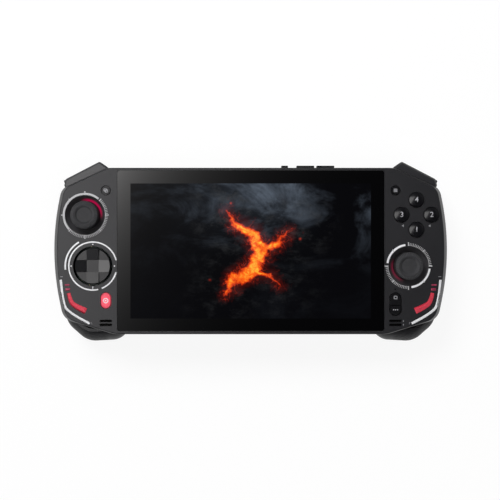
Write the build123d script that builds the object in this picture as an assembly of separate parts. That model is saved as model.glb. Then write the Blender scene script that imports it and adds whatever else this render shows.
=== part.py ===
from build123d import *
import math
import os

# Whole console, in millimetres. It lies on its back: X runs across it, Y towards
# the top edge and Z out of the screen, with Z zero at the flats of the grips.
body_width = 256.0
body_height = 108.4
front_cover_depth = 10.5
rear_cover_depth = 11.5
grip_depth = 12.5
wall = 2.0
overrun = 1.0
seat_gap = 0.2
slide_gap = 0.3
pin_gap = 0.05
small_round = 0.4

# Outline of the covers. The shares are of half the width and half the height.
shoulder_top_share = 0.738
shoulder_low_share = 0.755
flank_middle_share = 0.017
lower_corner_share = 0.817
chin_share = 0.698
flank_arc_share = 0.84
flank_lean = 11.8
shoulder_radius = 14.0
upper_corner_radius = 9.0
lower_corner_radius = 10.0
chin_radius = 20.0

# Front cover
flank_inset = 3.0
edge_inset = 0.5
straight_band = 3.5
rim_radius = 0.8
boss_radius = 1.5

# Rear cover and grips. The grip's outline is in shares of half the width and height.
rear_edge_radius = 4.0
grip_outline_shares = [
    (0.953, 0.554),
    (0.977, -0.185),
    (0.952, -0.876),
    (0.844, -1.098),
    (0.602, -1.066),
    (0.672, -0.369),
    (0.750, 0.554),
]
grip_centre_shares = (0.8125, -0.258)
grip_end_radius = 8.0
grip_side_radius = 60.0
grip_heel_radius = 14.0
grip_toe_radius = 12.0
grip_waist_radius = 30.0
# Each section of a grip: its height as a share of the root's, its scale, and how far
# it is set down as a share of half the height.
grip_section_shares = [
    (0.0, 0.72, 0.10),
    (0.11, 0.83, 0.08),
    (0.32, 0.95, 0.04),
    (0.64, 1.0, 0.0),
    (1.0, 0.86, 0.0),
]
grip_root_sink = 0.5
standoff_radius = 2.0

# Display
glass_thickness = 1.1
glass_proud = 0.2
glass_top_margin = 2.0
glass_bottom_margin = 2.4
glass_side_margin = 7.25
glass_corner_radius = 2.0
glass_ledge = 6.2
panel_side_margin = 7.0
panel_end_margin = 6.5
panel_thickness = 2.8
frame_thickness = 1.2
frame_margin = 4.0
frame_window = 12.0
frame_rib = 8.0
frame_edge = 1.0
frame_boss_gap = 0.4
frame_boss_share = 0.4
glass_edge_share = 0.75

# Control places, measured in from the flank, and up or down from the middle as shares
# of half the height
stick_inset = 21.0
stick_high_share = 0.428
pad_inset = 26.1
pad_low_share = 0.179
key_column_inset = 34.5
corner_key_share = 0.7214
home_key_share = 0.5904
pair_key_share = 0.6328
pair_split_drop = 0.8
face_keys_share = 0.4317
face_key_offset = 9.65
speaker_inset = 7.8
microphone_share = 0.4576

# Thumb sticks
stick_hole_radius = 12.75
stick_hole_gap = 0.15
stick_pivot_depth = 8.5
dome_radius = 9.3
dome_thickness = 0.9
dome_rim_angle = 12.0
dome_crown_radius = 7.6
cap_radius = 9.0
cap_thickness = 3.1
cap_edge_drop = 2.1
cap_dish_radius = 5.7
cap_dish_depth = 0.8
cap_lip = 0.9
cap_edge_rise = 1.35
neck_radius = 3.6
neck_height = 0.9
socket_depth = 1.3
shaft_radius = 1.9
shaft_below = 6.0
rocker_radius = 3.6
rocker_thickness = 2.2
gimbal_outer_radius = 5.6
gimbal_inner_radius = 4.2
gimbal_thickness = 2.4
gimbal_pin_radius = 0.8
rocker_pin_radius = 0.7
can_radius = 7.4
can_bore_radius = 6.4
can_above_pivot = 1.8
module_width = 14.0
module_base_depth = 8.5
module_floor = 2.0
module_can_depth = 2.5
module_ear_width = 20.2
module_ear_thickness = 1.5
module_ear_radius = 2.2
module_post_offset = 8.6
module_post_radius = 1.4
sensor_width = 8.6
sensor_depth = 2.4
plunger_radius = 1.8
plunger_height = 1.7
light_ring_thickness = 1.0
light_ring_drop = 3.5
light_ring_flange = 0.8
light_ring_top_gap = 2.4

# Direction pad
pad_hole_radius = 12.8
pad_disc_radius = 11.6
pad_disc_thickness = 3.1
pad_disc_drop = 0.2
pad_arm_length = 11.1
pad_arm_width = 7.7
pad_arm_height = 2.0
pad_slope_depth = 1.5
pad_centre_radius = 3.4
pad_arm_count = 4
pad_pivot_depth = 5.2
pad_pin_radius = 0.6
pad_pin_reach = 5.4
pad_lug_offset = 4.6
pad_lug_thickness = 1.4
pad_lug_radius = 1.2
pad_hub_width = 3.0
pad_hub_height = 2.0
pad_nub_offset = 8.5
pad_nub_radius = 1.0
pad_nub_length = 2.3

# Round and oblong keys
face_key_radius = 4.7
face_key_rise = 1.1
face_key_crown = 1.0
face_key_travel = 1.2
small_key_radius = 2.8
small_key_rise = 0.4
small_key_travel = 0.5
home_key_width = 6.3
home_key_length = 9.7
pair_key_width = 7.0
pair_key_length = 14.4
pair_key_split = 0.4
key_gap = 0.45
key_flange = 0.4
key_flange_thickness = 1.1
key_stem_radius = 1.6
key_stem_gap = 0.25

# Button boards and key domes
board_thickness = 1.2
board_depth = 7.3
board_inner_gap = 1.2
board_stick_hole = 10.2
board_post_gap = 0.3
board_edge_gap = 0.4
left_board_reach = 25.5
left_board_high_inset = 10.2
left_board_low_inset = 16.2
right_board_reach = 29.5
right_board_strip = 11.5
right_board_low_inset = 11.9
right_board_shelf_low = 6.0
right_board_shelf_high = 36.5
key_dome_radius = 2.2
key_dome_base = 0.2
key_dome_height = 0.4
key_dome_rim = 0.6

# Keys in the top edge
power_key_x = 22.1
power_key_width = 4.4
volume_up_x = 48.6
volume_down_x = 35.6
volume_key_width = 11.6
edge_key_height = 3.0
edge_key_proud = 1.3
edge_key_travel = 0.4
edge_key_depth = 8.0
edge_key_flange = 0.4
edge_key_flange_thickness = 1.0
edge_board_height = 6.0
edge_board_margin = 3.0
edge_board_thickness = 0.8
edge_key_play = 0.2

# Shoulders. Sizes run along the shoulder and outwards from it.
lip_depth = 4.2
bumper_height = 8.7
bumper_outer_reach = 13.4
bumper_inner_reach = 17.1
bumper_corner_x = 10.6
bumper_corner_out = 4.1
bumper_peak_x = 14.0
bumper_peak_out = 5.2
bumper_low_out = 0.8
bumper_back = 4.2
bumper_edge_radius = 1.4
bumper_bevel = 1.1
bumper_pin_x = 13.0
bumper_pin_back = 2.0
trigger_pocket_back = 7.8
bumper_pocket_back = 6.4
pocket_front = 14.0
pocket_wall = 1.6
pocket_end_gap = 0.45
bumper_shelf_gap = 0.3
trigger_outer_reach = 13.6
trigger_inner_reach = 9.2
trigger_top_gap = 0.7
trigger_hub_radius = 2.6
trigger_pin_back = 4.8
trigger_reach = 10.0
trigger_drop = 10.6
trigger_edge_radius = 0.6
trigger_face_radius = 20.0
trigger_inner_radius = 4.0
trigger_side_chamfer = 0.4
# The trigger's side view, in shares of its reach and its drop from the pin.
trigger_profile_shares = [
    (0.94, 0.245),
    (0.98, 0.14),
    (0.88, -0.42),
    (1.0, -0.92),
    (0.84, -1.0),
    (0.60, -0.80),
    (0.33, -0.33),
]
shoulder_pin_radius = 1.0
shoulder_pin_bite = 1.4
shoulder_boss_radius = 2.4
shoulder_boss_depth = 6.0
spring_radius = 1.5
spring_wire_radius = 0.3
spring_length = 3.0
spring_pitch = 0.75
spring_x = 2.0

# Main board and what is on it
main_board_left_share = 0.1172
main_board_screw_gap = 5.2
main_board_low = 3.0
main_board_high_inset = 5.2
main_board_height = 6.0
main_board_inset = 4.0
board_post_x = 6.0
processor_x_share = 0.2735
processor_y_share = 0.406
processor_width = 24.0
processor_height = 20.0
processor_thickness = 1.2
chip_count = 4
chip_width = 9.0
chip_height = 12.0
chip_thickness = 1.0
chip_pitch = 12.0
chip_y_share = 0.1476
drive_inset = 22.0
drive_y_share = 0.4428
drive_width = 30.0
drive_height = 22.0
drive_board_thickness = 0.8
drive_lift = 1.5
drive_chip_width = 11.0
drive_chip_thickness = 1.1
drive_chip_share = 0.8
connector_depth = 5.0

# Cooling
spreader_width = 34.0
spreader_height = 28.0
spreader_thickness = 1.0
pipe_width = 7.0
pipe_thickness = 2.0
pipe_bend_radius = 9.0
pipe_bend_x = 14.0
pipe_drop_x = 12.0
fan_left_share = 0.5625
fan_right_share = 0.15625
fan_low = 3.0
fan_high_inset = 10.2
fan_height = 9.0
fan_skin = 1.2
rotor_radius = 18.0
rotor_gap = 0.6
hub_radius = 8.5
fan_intake_radius = 14.5
fan_spoke_width = 2.0
fan_shaft_radius = 1.2
blade_count = 21
blade_thickness = 0.7
blade_sweep = 28.0
rotor_band = 0.8
fin_count = 20
fin_thickness = 0.5
fin_margin = 2.0
fin_height = 5.4
fin_gap = 0.5
exhaust_count = 12
exhaust_width = 2.4
exhaust_height = 5.4
intake_count = 11
intake_width = 1.8

# Power, sound and sockets
battery_side_room = 63.0
battery_height_share = 0.7196
battery_thickness = 8.0
battery_low_inset = 8.8
battery_round = 1.0
speaker_width = 10.0
speaker_height = 5.4
speaker_thickness = 6.0
speaker_cone_radius = 2.4
speaker_cone_depth = 0.6
speaker_rise = 0.9
speaker_slot_length = 7.7
speaker_slot_width = 1.2
speaker_slot_pitch = 2.5
microphone_radius = 0.5
motor_radius = 5.0
motor_length = 11.0
motor_from_flank = 22.0
motor_y_share = 0.4982
motor_shaft_radius = 0.8
weight_radius = 4.4
weight_length = 4.0
weight_gap = 0.5
weight_bore_wall = 0.9
usb_width = 8.94
usb_height = 3.26
usb_length = 7.35
usb_shell = 0.3
usb_tongue = 0.7
usb_tongue_inset = 1.2
usb_back = 1.2
usb_top_x_share = 0.15625
usb_board_width = 16.0
usb_board_length = 5.6
usb_post_share = 0.4
jack_x_share = 0.46875
jack_width = 6.5
jack_length = 13.0
jack_height = 5.0
jack_bore_radius = 1.8
jack_nose_radius = 2.45
jack_nose_gap = 0.1
jack_depth = 14.0
card_x_share = 0.3125
card_width = 14.0
card_length = 15.0
card_height = 1.8
card_slot_width = 11.5
card_slot_height = 1.0
card_slot_depth = 12.0
port_clearance = 0.3

# Cover screws
screw_radius = 1.1
screw_head_radius = 2.2
screw_head_height = 1.2
screw_sink = 0.6
screw_post_radius = 2.4
screw_bite = 6.0
thread_gap = 0.05
top_screw_inset = 8.3
top_screw_edge = 5.6
bottom_screw_inset = 11.0
bottom_screw_edge = 4.8
chin_screw_share = 0.2735
middle_screw_edge = 4.0
side_screw_share = 0.1107

# Planes and places that follow from the sizes above
half_width = body_width / 2
half_height = body_height / 2
stick_high_y = stick_high_share * half_height
pad_low_y = pad_low_share * half_height
corner_key_y = corner_key_share * half_height
home_key_y = home_key_share * half_height
pair_key_y = pair_key_share * half_height
face_keys_y = face_keys_share * half_height
speaker_y = half_height - speaker_inset
microphone_y = microphone_share * half_height
left_board_high = half_height - left_board_high_inset
left_board_low = half_height - left_board_low_inset
right_board_low = half_height - right_board_low_inset
main_board_left = main_board_left_share * half_width
main_board_high = half_height - main_board_high_inset
processor_x = processor_x_share * half_width
processor_y = processor_y_share * half_height
chip_y = chip_y_share * half_height
drive_y = drive_y_share * half_height
fan_left = fan_left_share * half_width
fan_right = fan_right_share * half_width
fan_high = half_height - fan_high_inset
battery_width = 2 * (half_width - battery_side_room)
battery_height = battery_height_share * half_height
battery_low = half_height - battery_low_inset
motor_y = motor_y_share * half_height
usb_top_x = usb_top_x_share * half_width
jack_x = jack_x_share * half_width
card_x = card_x_share * half_width
middle_screw_y = half_height - middle_screw_edge
back_z = grip_depth
parting_z = back_z + rear_cover_depth
face_z = parting_z + front_cover_depth
plate_z = face_z - wall
floor_z = back_z + wall
glass_top_z = face_z + glass_proud
pocket_floor_z = glass_top_z - glass_thickness
panel_top_z = pocket_floor_z - seat_gap
panel_low_z = panel_top_z - panel_thickness
frame_top_z = panel_low_z - seat_gap
frame_low_z = frame_top_z - frame_thickness
board_top_z = face_z - board_depth
board_low_z = board_top_z - board_thickness
dome_top_z = board_top_z + key_dome_base + key_dome_height
flange_top_z = plate_z - slide_gap
flange_low_z = flange_top_z - key_flange_thickness
stick_pivot_z = face_z - stick_pivot_depth
pad_pivot_z = face_z - pad_pivot_depth
key_column_x = half_width - key_column_inset
panel_width = 2 * (key_column_x - glass_side_margin - panel_side_margin)
panel_height = body_height - glass_top_margin - glass_bottom_margin - 2 * panel_end_margin
top_screw_x = key_column_x - top_screw_inset
top_screw_y = half_height - top_screw_edge
bottom_screw_x = key_column_x - bottom_screw_inset
main_board_right = top_screw_x - main_board_screw_gap
drive_x = main_board_right - drive_inset
bottom_screw_y = half_height - bottom_screw_edge
chin_screw_x = chin_screw_share * half_width
stick_column_x = half_width - stick_inset
pad_column_x = half_width - pad_inset
main_board_low_z = floor_z + main_board_height
main_board_top_z = main_board_low_z + board_thickness
bumper_top_z = face_z - lip_depth - slide_gap
bumper_low_z = bumper_top_z - bumper_height
trigger_pin_z = bumper_low_z - trigger_top_gap - trigger_hub_radius
left_stick = (-stick_column_x, stick_high_y)
right_stick = (pad_column_x, -pad_low_y)
pad_place = (-pad_column_x, -pad_low_y)
face_keys_place = (stick_column_x, face_keys_y)
split_y = -pair_key_y - pair_split_drop
side_screw_y = side_screw_share * half_height
side_screw_x = key_column_x - glass_side_margin + screw_post_radius
screw_places = [
    (0, middle_screw_y),
    (-top_screw_x, top_screw_y),
    (top_screw_x, top_screw_y),
    (-bottom_screw_x, -bottom_screw_y),
    (bottom_screw_x, -bottom_screw_y),
    (-chin_screw_x, -middle_screw_y),
    (chin_screw_x, -middle_screw_y),
    (-side_screw_x, side_screw_y),
    (side_screw_x, side_screw_y),
]
STAND = (Align.CENTER, Align.CENTER, Align.MIN)
CORNER = (Align.MIN, Align.MIN, Align.MIN)


def rod(place, low, high, radius):
    """Upright round bar at a place, from one height to another."""
    return Pos(place[0], place[1], low) * Cylinder(radius, high - low, align=STAND)


def block(left, right, near, far, low, high):
    """Square block between its limits in X, Y and Z."""
    return Pos(left, near, low) * Box(right - left, far - near, high - low, align=CORNER)


def plate(face, low, high):
    """Flat shape raised from one height to another."""
    return extrude(Pos(0, 0, low) * face, amount=high - low)


def turned(place, profile):
    """Solid of revolution about an upright axis, from points of radius and height."""
    face = make_face(Polyline(*[(radius, 0, height) for radius, height in profile], close=True))
    return Pos(place[0], place[1], 0) * revolve(face, Axis.Z)


def oblong(place, width, length, low, high):
    """Upright bar with a round-ended section that is long in Y."""
    return plate(Pos(place[0], place[1]) * Rot(0, 0, 90) * SlotOverall(length, width), low, high)


def joined(solids):
    """One solid from many that touch or overlap."""
    first, *others = solids
    return first.fuse(*others) if others else first


def mirrored(shape):
    """The same piece for the other side of the console."""
    return mirror(shape, about=Plane.YZ)


def save(name, *shapes):
    """Write one sub-part, which may be a group of separate solids."""
    solids = [solid for shape in shapes for solid in shape.solids()]
    body = solids[0] if len(solids) == 1 else Compound(children=solids)
    export_step(body, f"parts/{name}.step")


def outline_corners(half_x, half_y):
    """Corners of the left half of the outline, from the top edge down."""
    lean = math.radians(flank_lean)
    middle_y = flank_middle_share * half_y
    upper_y = shoulder_low_share * half_y
    lower_y = -lower_corner_share * half_y
    flank_run = (upper_y - middle_y) / math.cos(lean)
    flank_radius = flank_arc_share * flank_run / math.tan(lean)
    tip_x = half_x + flank_radius * (1 / math.cos(lean) - 1)
    upper_x = tip_x - (upper_y - middle_y) * math.tan(lean)
    lower_x = tip_x - (middle_y - lower_y) * math.tan(lean)
    corners = [
        (-shoulder_top_share * half_x, half_y),
        (-upper_x, upper_y),
        (-tip_x, middle_y),
        (-lower_x, lower_y),
        (-chin_share * half_x, -half_y),
    ]
    radii = [shoulder_radius, upper_corner_radius, flank_radius, lower_corner_radius, chin_radius]
    return corners, radii


def outline(inset_x, inset_y):
    """Face of the console's outline, drawn in from the flanks and the long edges."""
    corners, radii = outline_corners(half_width - inset_x, half_height - inset_y)
    others = [(-x, y) for x, y in reversed(corners)]
    return make_face(FilletPolyline(*corners, *others, radius=radii + radii[::-1], close=True))


def front_form(shrink, low):
    """Front cover as a filled form, from a height up to its face."""
    bend_z = parting_z + straight_band
    band = plate(outline(shrink, shrink), low, bend_z)
    foot = Pos(0, 0, bend_z) * outline(shrink, shrink)
    rise_share = (face_z - shrink - bend_z) / (face_z - bend_z)
    head = outline(shrink + flank_inset * rise_share, shrink + edge_inset * rise_share)
    head = Pos(0, 0, face_z - shrink) * head
    return band + loft([foot, head], ruled=True)


def grip_section(height_share, scale_share, slide_share, inset):
    """One level section of the left grip."""
    centre_x = -grip_centre_shares[0] * half_width
    centre_y = grip_centre_shares[1] * half_height
    slide = slide_share * half_height
    points = [
        (
            centre_x + scale_share * (-x * half_width - centre_x),
            centre_y + scale_share * (y * half_height - centre_y) - slide,
        )
        for x, y in grip_outline_shares
    ]
    radii = [
        grip_end_radius,
        grip_side_radius,
        grip_heel_radius,
        grip_heel_radius,
        grip_toe_radius,
        grip_waist_radius,
        grip_end_radius,
    ]
    face = make_face(FilletPolyline(*points, radius=[scale_share * r for r in radii], close=True))
    if inset:
        face = offset(face, amount=-inset)
    root_z = parting_z - grip_root_sink
    return Pos(0, 0, inset + height_share * (root_z - inset)) * face


def grip_form(inset):
    """Left grip as a filled form."""
    return loft([grip_section(*shares, inset) for shares in grip_section_shares])


def rear_form():
    """Rear cover with both grips, as a filled form."""
    main = plate(outline(0, 0), back_z, parting_z)
    main = fillet(main.faces().sort_by(Axis.Z)[0].edges(), rear_edge_radius)
    grip = grip_form(0)
    return main + grip + mirrored(grip)


def shoulder_frame():
    """Place of the left shoulder: X along it towards the middle, Y outwards."""
    corners, _ = outline_corners(half_width, half_height)
    (top_x, top_y), (low_x, low_y) = corners[0], corners[1]
    turn = math.degrees(math.atan2(top_y - low_y, top_x - low_x))
    return Pos((top_x + low_x) / 2, (top_y + low_y) / 2) * Rot(0, 0, turn)


def bumper_pocket(margin, high):
    """Space of the left bumper, grown by a margin, up to a height."""
    return shoulder_frame() * block(
        -bumper_outer_reach - pocket_end_gap - margin,
        bumper_inner_reach + pocket_end_gap + margin,
        -bumper_pocket_back - margin,
        pocket_front,
        bumper_low_z - bumper_shelf_gap - margin,
        high,
    )


def trigger_pocket(margin):
    """Space of the left trigger, grown by a margin, open to the back."""
    return shoulder_frame() * block(
        -trigger_outer_reach - pocket_end_gap - margin,
        trigger_inner_reach + pocket_end_gap + margin,
        -trigger_pocket_back - margin,
        pocket_front,
        -overrun,
        bumper_low_z + margin / 2,
    )


def both_sides(shape):
    """A left-hand cut or block and its mirror image."""
    return [shape, mirrored(shape)]


def bumper_pin_place():
    """Axis of the left bumper's upright pin."""
    place = shoulder_frame() * Pos(bumper_pin_x, -bumper_pin_back)
    return (place.position.X, place.position.Y)


def trigger_pin(radius, outer, inner):
    """Bar along the left trigger's axis."""
    bar = Rot(0, 90, 0) * Cylinder(radius, outer + inner, align=STAND)
    return shoulder_frame() * Pos(-outer, -trigger_pin_back, trigger_pin_z) * bar


def edge_keys():
    """Place and width of each key in the top edge."""
    return {
        "power_key": (power_key_x, power_key_width),
        "volume_down_key": (volume_down_x, volume_key_width),
        "volume_up_key": (volume_up_x, volume_key_width),
    }


def edge_key_middle():
    """Height of the middle of the keys in the top edge."""
    return parting_z + straight_band


def face_key_places():
    """Places of the four face keys: bottom, right, left and top."""
    x, y = face_keys_place
    return {
        "face_key_1": (x, y - face_key_offset),
        "face_key_2": (x + face_key_offset, y),
        "face_key_3": (x - face_key_offset, y),
        "face_key_4": (x, y + face_key_offset),
    }


def speaker_slots(side):
    """The two sound slots over one speaker."""
    slot = Pos(side * key_column_x, -speaker_y) * SlotOverall(speaker_slot_length, speaker_slot_width)
    return [
        plate(Pos(0, step * speaker_slot_pitch / 2) * slot, plate_z - overrun, face_z + overrun)
        for step in (-1, 1)
    ]


def board_post_places():
    """Places of the posts that carry the two button boards."""
    inner = key_column_x - glass_side_margin + board_inner_gap + boss_radius
    return [(side * inner, y) for side in (-1, 1) for y in (corner_key_y / 2, -microphone_y)]


def frame_boss_places():
    """Places of the bosses that hold the mid frame."""
    x = panel_width / 2 + boss_radius + frame_boss_gap
    high = frame_boss_share * panel_height
    return [(side * x, y) for side in (-1, 1) for y in (-high, 0, high)]


def front_cover():
    cover = front_form(0, parting_z)
    cover = fillet(cover.faces().sort_by(Axis.Z)[-1].edges(), rim_radius)
    hollow = front_form(wall, parting_z - overrun)
    for pocket in both_sides(bumper_pocket(pocket_wall, face_z)):
        hollow = hollow - pocket
    cover = cover - hollow
    for pocket in both_sides(bumper_pocket(0, bumper_top_z + slide_gap)):
        cover = cover - pocket
    posts = [rod(place, parting_z, plate_z + seat_gap, screw_post_radius)
             for place in screw_places]
    posts += [rod(place, board_top_z, plate_z + seat_gap, boss_radius)
              for place in board_post_places()]
    posts += [rod(place, frame_top_z, plate_z + seat_gap, boss_radius)
              for place in frame_boss_places()]
    cover = joined([cover] + posts)
    through_low = plate_z - overrun
    through_high = face_z + overrun
    glass_right = key_column_x - glass_side_margin
    glass_top = half_height - glass_top_margin
    glass_bottom = glass_bottom_margin - half_height
    cuts = [
        glass_block(seat_gap / 2, pocket_floor_z, through_high),
        block(
            glass_ledge - glass_right,
            glass_right - glass_ledge,
            glass_bottom + glass_ledge,
            glass_top - glass_ledge,
            through_low,
            through_high,
        ),
        rod(left_stick, through_low, through_high, stick_hole_radius),
        rod(right_stick, through_low, through_high, stick_hole_radius),
        rod(pad_place, through_low, through_high, pad_hole_radius),
    ]
    for place in face_key_places().values():
        cuts.append(rod(place, through_low, through_high, face_key_radius + key_gap))
    for side in (-1, 1):
        place = (side * key_column_x, corner_key_y)
        cuts.append(rod(place, through_low, through_high, small_key_radius + key_gap))
        cuts += speaker_slots(side)
    cuts.append(
        oblong(
            (-key_column_x, -home_key_y),
            home_key_width + 2 * key_gap,
            home_key_length + 2 * key_gap,
            through_low,
            through_high,
        )
    )
    cuts.append(
        oblong(
            (key_column_x, -pair_key_y),
            pair_key_width + 2 * key_gap,
            pair_key_length + 2 * key_gap,
            through_low,
            through_high,
        )
    )
    cuts.append(rod((key_column_x, -microphone_y), through_low, through_high, microphone_radius))
    half_key = edge_key_height / 2 + edge_key_play
    for x, width in edge_keys().values():
        cuts.append(
            block(
                x - width / 2 - edge_key_play,
                x + width / 2 + edge_key_play,
                half_height - 2 * wall,
                half_height + overrun,
                edge_key_middle() - half_key,
                edge_key_middle() + half_key,
            )
        )
    for place in screw_places:
        cuts.append(rod(place, parting_z - overrun, parting_z + screw_bite + small_round,
                        screw_radius + thread_gap))
    pin = rod(bumper_pin_place(), bumper_low_z, plate_z, shoulder_pin_radius)
    cuts += both_sides(pin)
    for cut in cuts:
        cover = cover - cut
    return cover


def glass_block(grow, low, high):
    """Block of the display glass, grown all round by a gap."""
    width = 2 * (key_column_x - glass_side_margin + grow)
    height = body_height - glass_top_margin - glass_bottom_margin + 2 * grow
    middle = (glass_bottom_margin - glass_top_margin) / 2
    return plate(Pos(0, middle) * RectangleRounded(width, height, glass_corner_radius), low, high)


def module_posts(stick):
    """Posts in the rear cover that carry one stick module."""
    top = stick_ear_top() - module_ear_thickness
    return [
        rod((stick[0] + dx * module_post_offset, stick[1] + dy * module_post_offset),
            0, top, module_post_radius)
        for dx in (-1, 1)
        for dy in (-1, 1)
    ]


def stick_ear_top():
    """Top of a stick module's square base and of its ear plate."""
    return stick_pivot_z - module_can_depth


def main_board_post_places():
    """Places of the standoffs under the main board."""
    right = main_board_right - main_board_inset
    low = main_board_inset - main_board_low
    high = main_board_high - main_board_inset - board_thickness
    return [(main_board_inset - main_board_left, low), (right, low), (board_post_x, high), (right, high)]


def exhaust_slots():
    """Slots in the top edge that let the warm air out."""
    span = fan_left - fan_right - 2 * fin_margin
    pitch = span / exhaust_count
    low = floor_z + fan_skin
    return [
        block(
            fin_margin - fan_left + (index + 0.5) * pitch - exhaust_width / 2,
            fin_margin - fan_left + (index + 0.5) * pitch + exhaust_width / 2,
            half_height - 2 * wall,
            half_height + overrun,
            low,
            low + exhaust_height,
        )
        for index in range(exhaust_count)
    ]


def fan_place():
    """Axis of the fan."""
    return (-(fan_left + fan_right) / 2, (fan_high - fan_low) / 2)


def intake_slots():
    """Slots in the back under the fan, shorter towards both sides."""
    x, y = fan_place()
    pitch = 2 * rotor_radius / intake_count
    slots = []
    for index in range(intake_count):
        across = (index - (intake_count - 1) / 2) * pitch
        length = 2 * math.sqrt(rotor_radius ** 2 - across ** 2)
        shape = Pos(x + across, y) * Rot(0, 0, 90) * SlotOverall(length, intake_width)
        slots.append(plate(shape, back_z - overrun, floor_z + overrun))
    return slots


def jack_z():
    """Height of the headphone jack's axis."""
    return main_board_low_z - jack_height / 2


def usb_z():
    """Height of the middle of both sockets."""
    return main_board_low_z - usb_height / 2


def usb_slot(x, inset, start, stop):
    """Round-ended bar along Y with a socket's section, drawn in by an inset."""
    shape = SlotOverall(usb_width - 2 * inset, usb_height - 2 * inset)
    return Pos(x, start, usb_z()) * Rot(-90, 0, 0) * extrude(shape, amount=stop - start)


def rear_cover():
    form = rear_form()
    hollow = plate(outline(wall, wall), floor_z, parting_z + overrun)
    grip_hollow = grip_form(wall)
    for part in both_sides(grip_hollow):
        hollow = hollow + part
    for pocket in both_sides(trigger_pocket(pocket_wall)):
        hollow = hollow - pocket
    for pocket in both_sides(bumper_pocket(pocket_wall, parting_z + overrun)):
        hollow = hollow - pocket
    cover = form - hollow
    posts = []
    for stick in (left_stick, right_stick):
        posts += module_posts(stick)
    posts += [rod(place, back_z, parting_z, screw_post_radius) for place in screw_places]
    posts += [rod(place, back_z, main_board_low_z, standoff_radius)
              for place in main_board_post_places()]
    posts += [rod((side * usb_post_share * usb_board_width, wall - middle_screw_y), back_z,
                  main_board_low_z, boss_radius) for side in (-1, 1)]
    posts += both_sides(
        rod(bumper_pin_place(), bumper_low_z - shoulder_boss_depth, bumper_low_z - bumper_shelf_gap,
            shoulder_boss_radius)
    )
    cover = joined([cover] + [post & form for post in posts])
    for pocket in both_sides(trigger_pocket(0)):
        cover = cover - pocket
    for pocket in both_sides(bumper_pocket(0, parting_z + overrun)):
        cover = cover - pocket
    cuts = exhaust_slots() + intake_slots()
    head_z = back_z + screw_sink + screw_head_height
    for place in screw_places:
        cuts.append(rod(place, back_z - overrun, head_z, screw_head_radius + seat_gap))
        cuts.append(rod(place, back_z, parting_z + overrun, screw_radius + seat_gap))
    cuts += both_sides(trigger_pin(shoulder_pin_radius, trigger_outer_reach + pocket_end_gap
                                   + shoulder_pin_bite, trigger_inner_reach + pocket_end_gap
                                   + shoulder_pin_bite))
    cuts += both_sides(rod(bumper_pin_place(), bumper_low_z - shoulder_boss_depth + pocket_wall,
                           bumper_low_z, shoulder_pin_radius))
    cuts.append(usb_slot(usb_top_x, -port_clearance, half_height - 2 * wall, half_height + overrun))
    cuts.append(usb_slot(0, -port_clearance, -half_height - overrun, 2 * wall - half_height))
    jack_hole = Cylinder(jack_nose_radius + jack_nose_gap, 2 * wall + overrun, align=STAND)
    jack_place = Pos(jack_x, half_height + overrun, jack_z())
    cuts.append(jack_place * Rot(90, 0, 0) * jack_hole)
    cuts.append(
        block(
            card_x - card_slot_width / 2 - port_clearance,
            card_x + card_slot_width / 2 + port_clearance,
            half_height - 2 * wall,
            half_height + overrun,
            main_board_low_z - (card_height + card_slot_height) / 2 - port_clearance,
            main_board_low_z - (card_height - card_slot_height) / 2 + port_clearance,
        )
    )
    for cut in cuts:
        cover = cover - cut
    return cover


def mid_frame():
    half_x = panel_width / 2 + frame_margin
    half_y = panel_height / 2 + frame_edge
    frame = block(-half_x, half_x, -half_y, half_y, frame_low_z, frame_top_z)
    window_x = (half_x - frame_window - frame_rib) / 2
    for side in (-1, 1):
        middle = side * (window_x + frame_rib)
        frame = frame - block(
            middle - window_x,
            middle + window_x,
            frame_window - half_y,
            half_y - frame_window,
            frame_low_z - overrun,
            frame_top_z + overrun,
        )
    return frame


def display_panel():
    panel = block(-panel_width / 2, panel_width / 2, -panel_height / 2, panel_height / 2,
                  panel_low_z, panel_top_z)
    return panel


def display_glass():
    glass = glass_block(0, pocket_floor_z, glass_top_z)
    return chamfer(glass.faces().sort_by(Axis.Z)[-1].edges(), glass_edge_share * glass_proud)


def light_ring(stick):
    top = face_z - light_ring_top_gap
    outer = stick_hole_radius - stick_hole_gap
    inner = stick_ring_inner()
    low = top - light_ring_drop
    flange = outer + light_ring_flange
    return turned(stick, [
        (inner, low),
        (outer, top),
        (outer, plate_z - seat_gap),
        (flange, plate_z - seat_gap),
        (flange, plate_z - seat_gap - light_ring_thickness),
        (outer, plate_z - seat_gap - light_ring_thickness),
        (inner, low - light_ring_thickness),
    ])


def stick_ring_inner():
    """Inner radius of a light ring, clear of the stick's dome."""
    return dome_radius


def stick_module(stick):
    top = stick_ear_top()
    half = module_width / 2
    base = block(stick[0] - half, stick[0] + half, stick[1] - half, stick[1] + half,
                 top - module_base_depth, top)
    ears = plate(Pos(stick[0], stick[1]) * RectangleRounded(module_ear_width, module_ear_width,
                                                            module_ear_radius),
                 top - module_ear_thickness, top)
    can = rod(stick, top, stick_pivot_z + can_above_pivot, can_radius)
    module = base + ears + can
    sensor_low = top - module_base_depth
    sensor_high = top - module_ear_thickness
    module = module + block(stick[0] + half, stick[0] + half + sensor_depth,
                            stick[1] - sensor_width / 2, stick[1] + sensor_width / 2,
                            sensor_low, sensor_high)
    module = module + block(stick[0] - sensor_width / 2, stick[0] + sensor_width / 2,
                            stick[1] - half - sensor_depth, stick[1] - half,
                            sensor_low, sensor_high)
    bore_low = top - module_base_depth + module_floor
    module = module - rod(stick, bore_low, stick_pivot_z + can_above_pivot + overrun,
                          can_bore_radius)
    pin_hole = Rot(0, 90, 0) * Cylinder(gimbal_pin_radius + pin_gap, 2 * can_radius + overrun)
    module = module - Pos(stick[0], stick[1], stick_pivot_z) * pin_hole
    return module + rod(stick, bore_low - seat_gap, bore_low + plunger_height, plunger_radius)


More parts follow.
